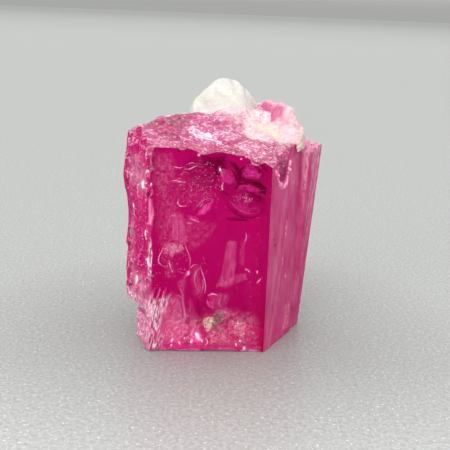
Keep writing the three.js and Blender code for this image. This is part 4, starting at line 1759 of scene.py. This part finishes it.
CRUST_ZONES = [
    Zone("creamy", [(0.6, -0.3), (1.1, -0.5), (1.9, -0.95), (2.4, -0.7), (2.2, -0.1), (1.6, 0.25),
                    (0.8, 0.35)], 1.0, 0.45),
    Zone("creamy", [(2.4, -1.0), (3.1, -0.6), (3.1, 0.3), (2.6, 0.2)], 0.8, 0.2),
    Zone("rosy", [(0.6, 0.8), (1.3, 0.55), (2.1, 0.3), (2.3, 0.8), (1.8, 1.2), (1.4, 1.5),
                  (0.9, 1.5)], 1.0, 0.2),
    Zone("rosy", [(1.4, 1.1), (2.3, 0.9), (2.7, 1.6), (1.6, 2.4), (1.0, 2.0)], 0.3, 0.3),
]

FILMS = [
    FrostSheet(
        Region.TOP,
        FrostFinish(
            "top_frost", (0.97, 0.67, 0.79), (0.8, 0.26, 0.43),
            base=0.25, patch=0.65, crack=0.3, crest=0.9, size=0.36, stretch=(2.0, 0.8, 1.0), gloss=0.25,
        ),
        TOP_ZONES,
    ),
    FrostSheet(
        Region.LEFT,
        FrostFinish(
            "side_frost", (1.0, 0.4, 0.72), (0.52, 0.004, 0.13),
            base=0.88, patch=0.1, crack=0.03, crest=0.1, size=1.2, stretch=(0.5, 0.5, 1.0),
            roughness=0.45, index=1.35, gloss=0.04, bright=0.67, cloud=0.05,
        ),
        LEFT_ZONES,
    ),
    FrostSheet(
        Region.LEFT_FOOT,
        FrostFinish("foot_frost", base=0.6, patch=0.4, crack=0.2, size=0.8, stretch=(0.5, 0.5, 3.0)),
    ),
    FrostSheet(
        Region.FOOT,
        FrostFinish(
            "under_frost", (0.7, 0.12, 0.34), (0.62, 0.04, 0.19),
            base=0.55, patch=0.0, crack=0.0, crest=0.0, size=1.4, bright=0.8,
        ),
    ),
    FrostSheet(
        Region.BACK,
        FrostFinish(
            "back_frost", (0.95, 0.5, 0.7),
            base=0.05, patch=0.15, crack=0.05, crest=0.05, size=0.5, stretch=(0.6, 0.6, 2.5),
        ),
    ),
    FrostSheet(
        Region.GROWTH,
        FrostFinish(
            "growth_frost", (0.8, 0.22, 0.42), (0.6, 0.05, 0.2),
            base=0.8, patch=0.1, crack=0.0, crest=0.0, size=0.7, stretch=(0.8, 0.8, 1.5),
            roughness=0.9, index=1.2, bright=0.75, cloud=0.6,
        ),
        GROWTH_ZONES,
    ),
    FrostSheet(
        Region.RIGHT,
        FrostFinish(
            "right_haze", (0.8, 0.22, 0.42), (0.62, 0.045, 0.2),
            base=0.65, patch=0.05, crack=0.0, crest=0.1, size=0.7, stretch=(0.8, 0.8, 1.5),
            roughness=0.6, index=1.2, bright=0.75, cloud=0.6,
        ),
    ),
]

WHITE_ROCK = RockFinish("white_rock", (0.74, 0.72, 0.67), (0.63, 0.61, 0.56))
CREAM_ROCK = RockFinish("cream_rock", (0.88, 0.58, 0.63), (0.76, 0.33, 0.43))
ROCKS = [
    RockRemain("white_matrix_cap", "white_cap", WHITE_ROCK, CAP_ZONES, sink=0.09, relief=0.06, grit=0.025),
    RockRemain("cream_crust", "crust", CREAM_ROCK, CRUST_ZONES, sink=0.14, cell=0.025),
]


def main() -> None:
    """Builds every piece in order."""
    logging.basicConfig(level=logging.INFO, format="%(name)s %(message)s")
    Studio().build()
    body = CrystalBody()
    crystal = body.build()
    for film in FILMS:
        film.dress(film.build(crystal))
    body.dress(crystal)
    Inclusions().build()
    for part in (Crumbs(), *ROCKS):
        part.dress(part.build())


if __name__ == "__main__":
    main()
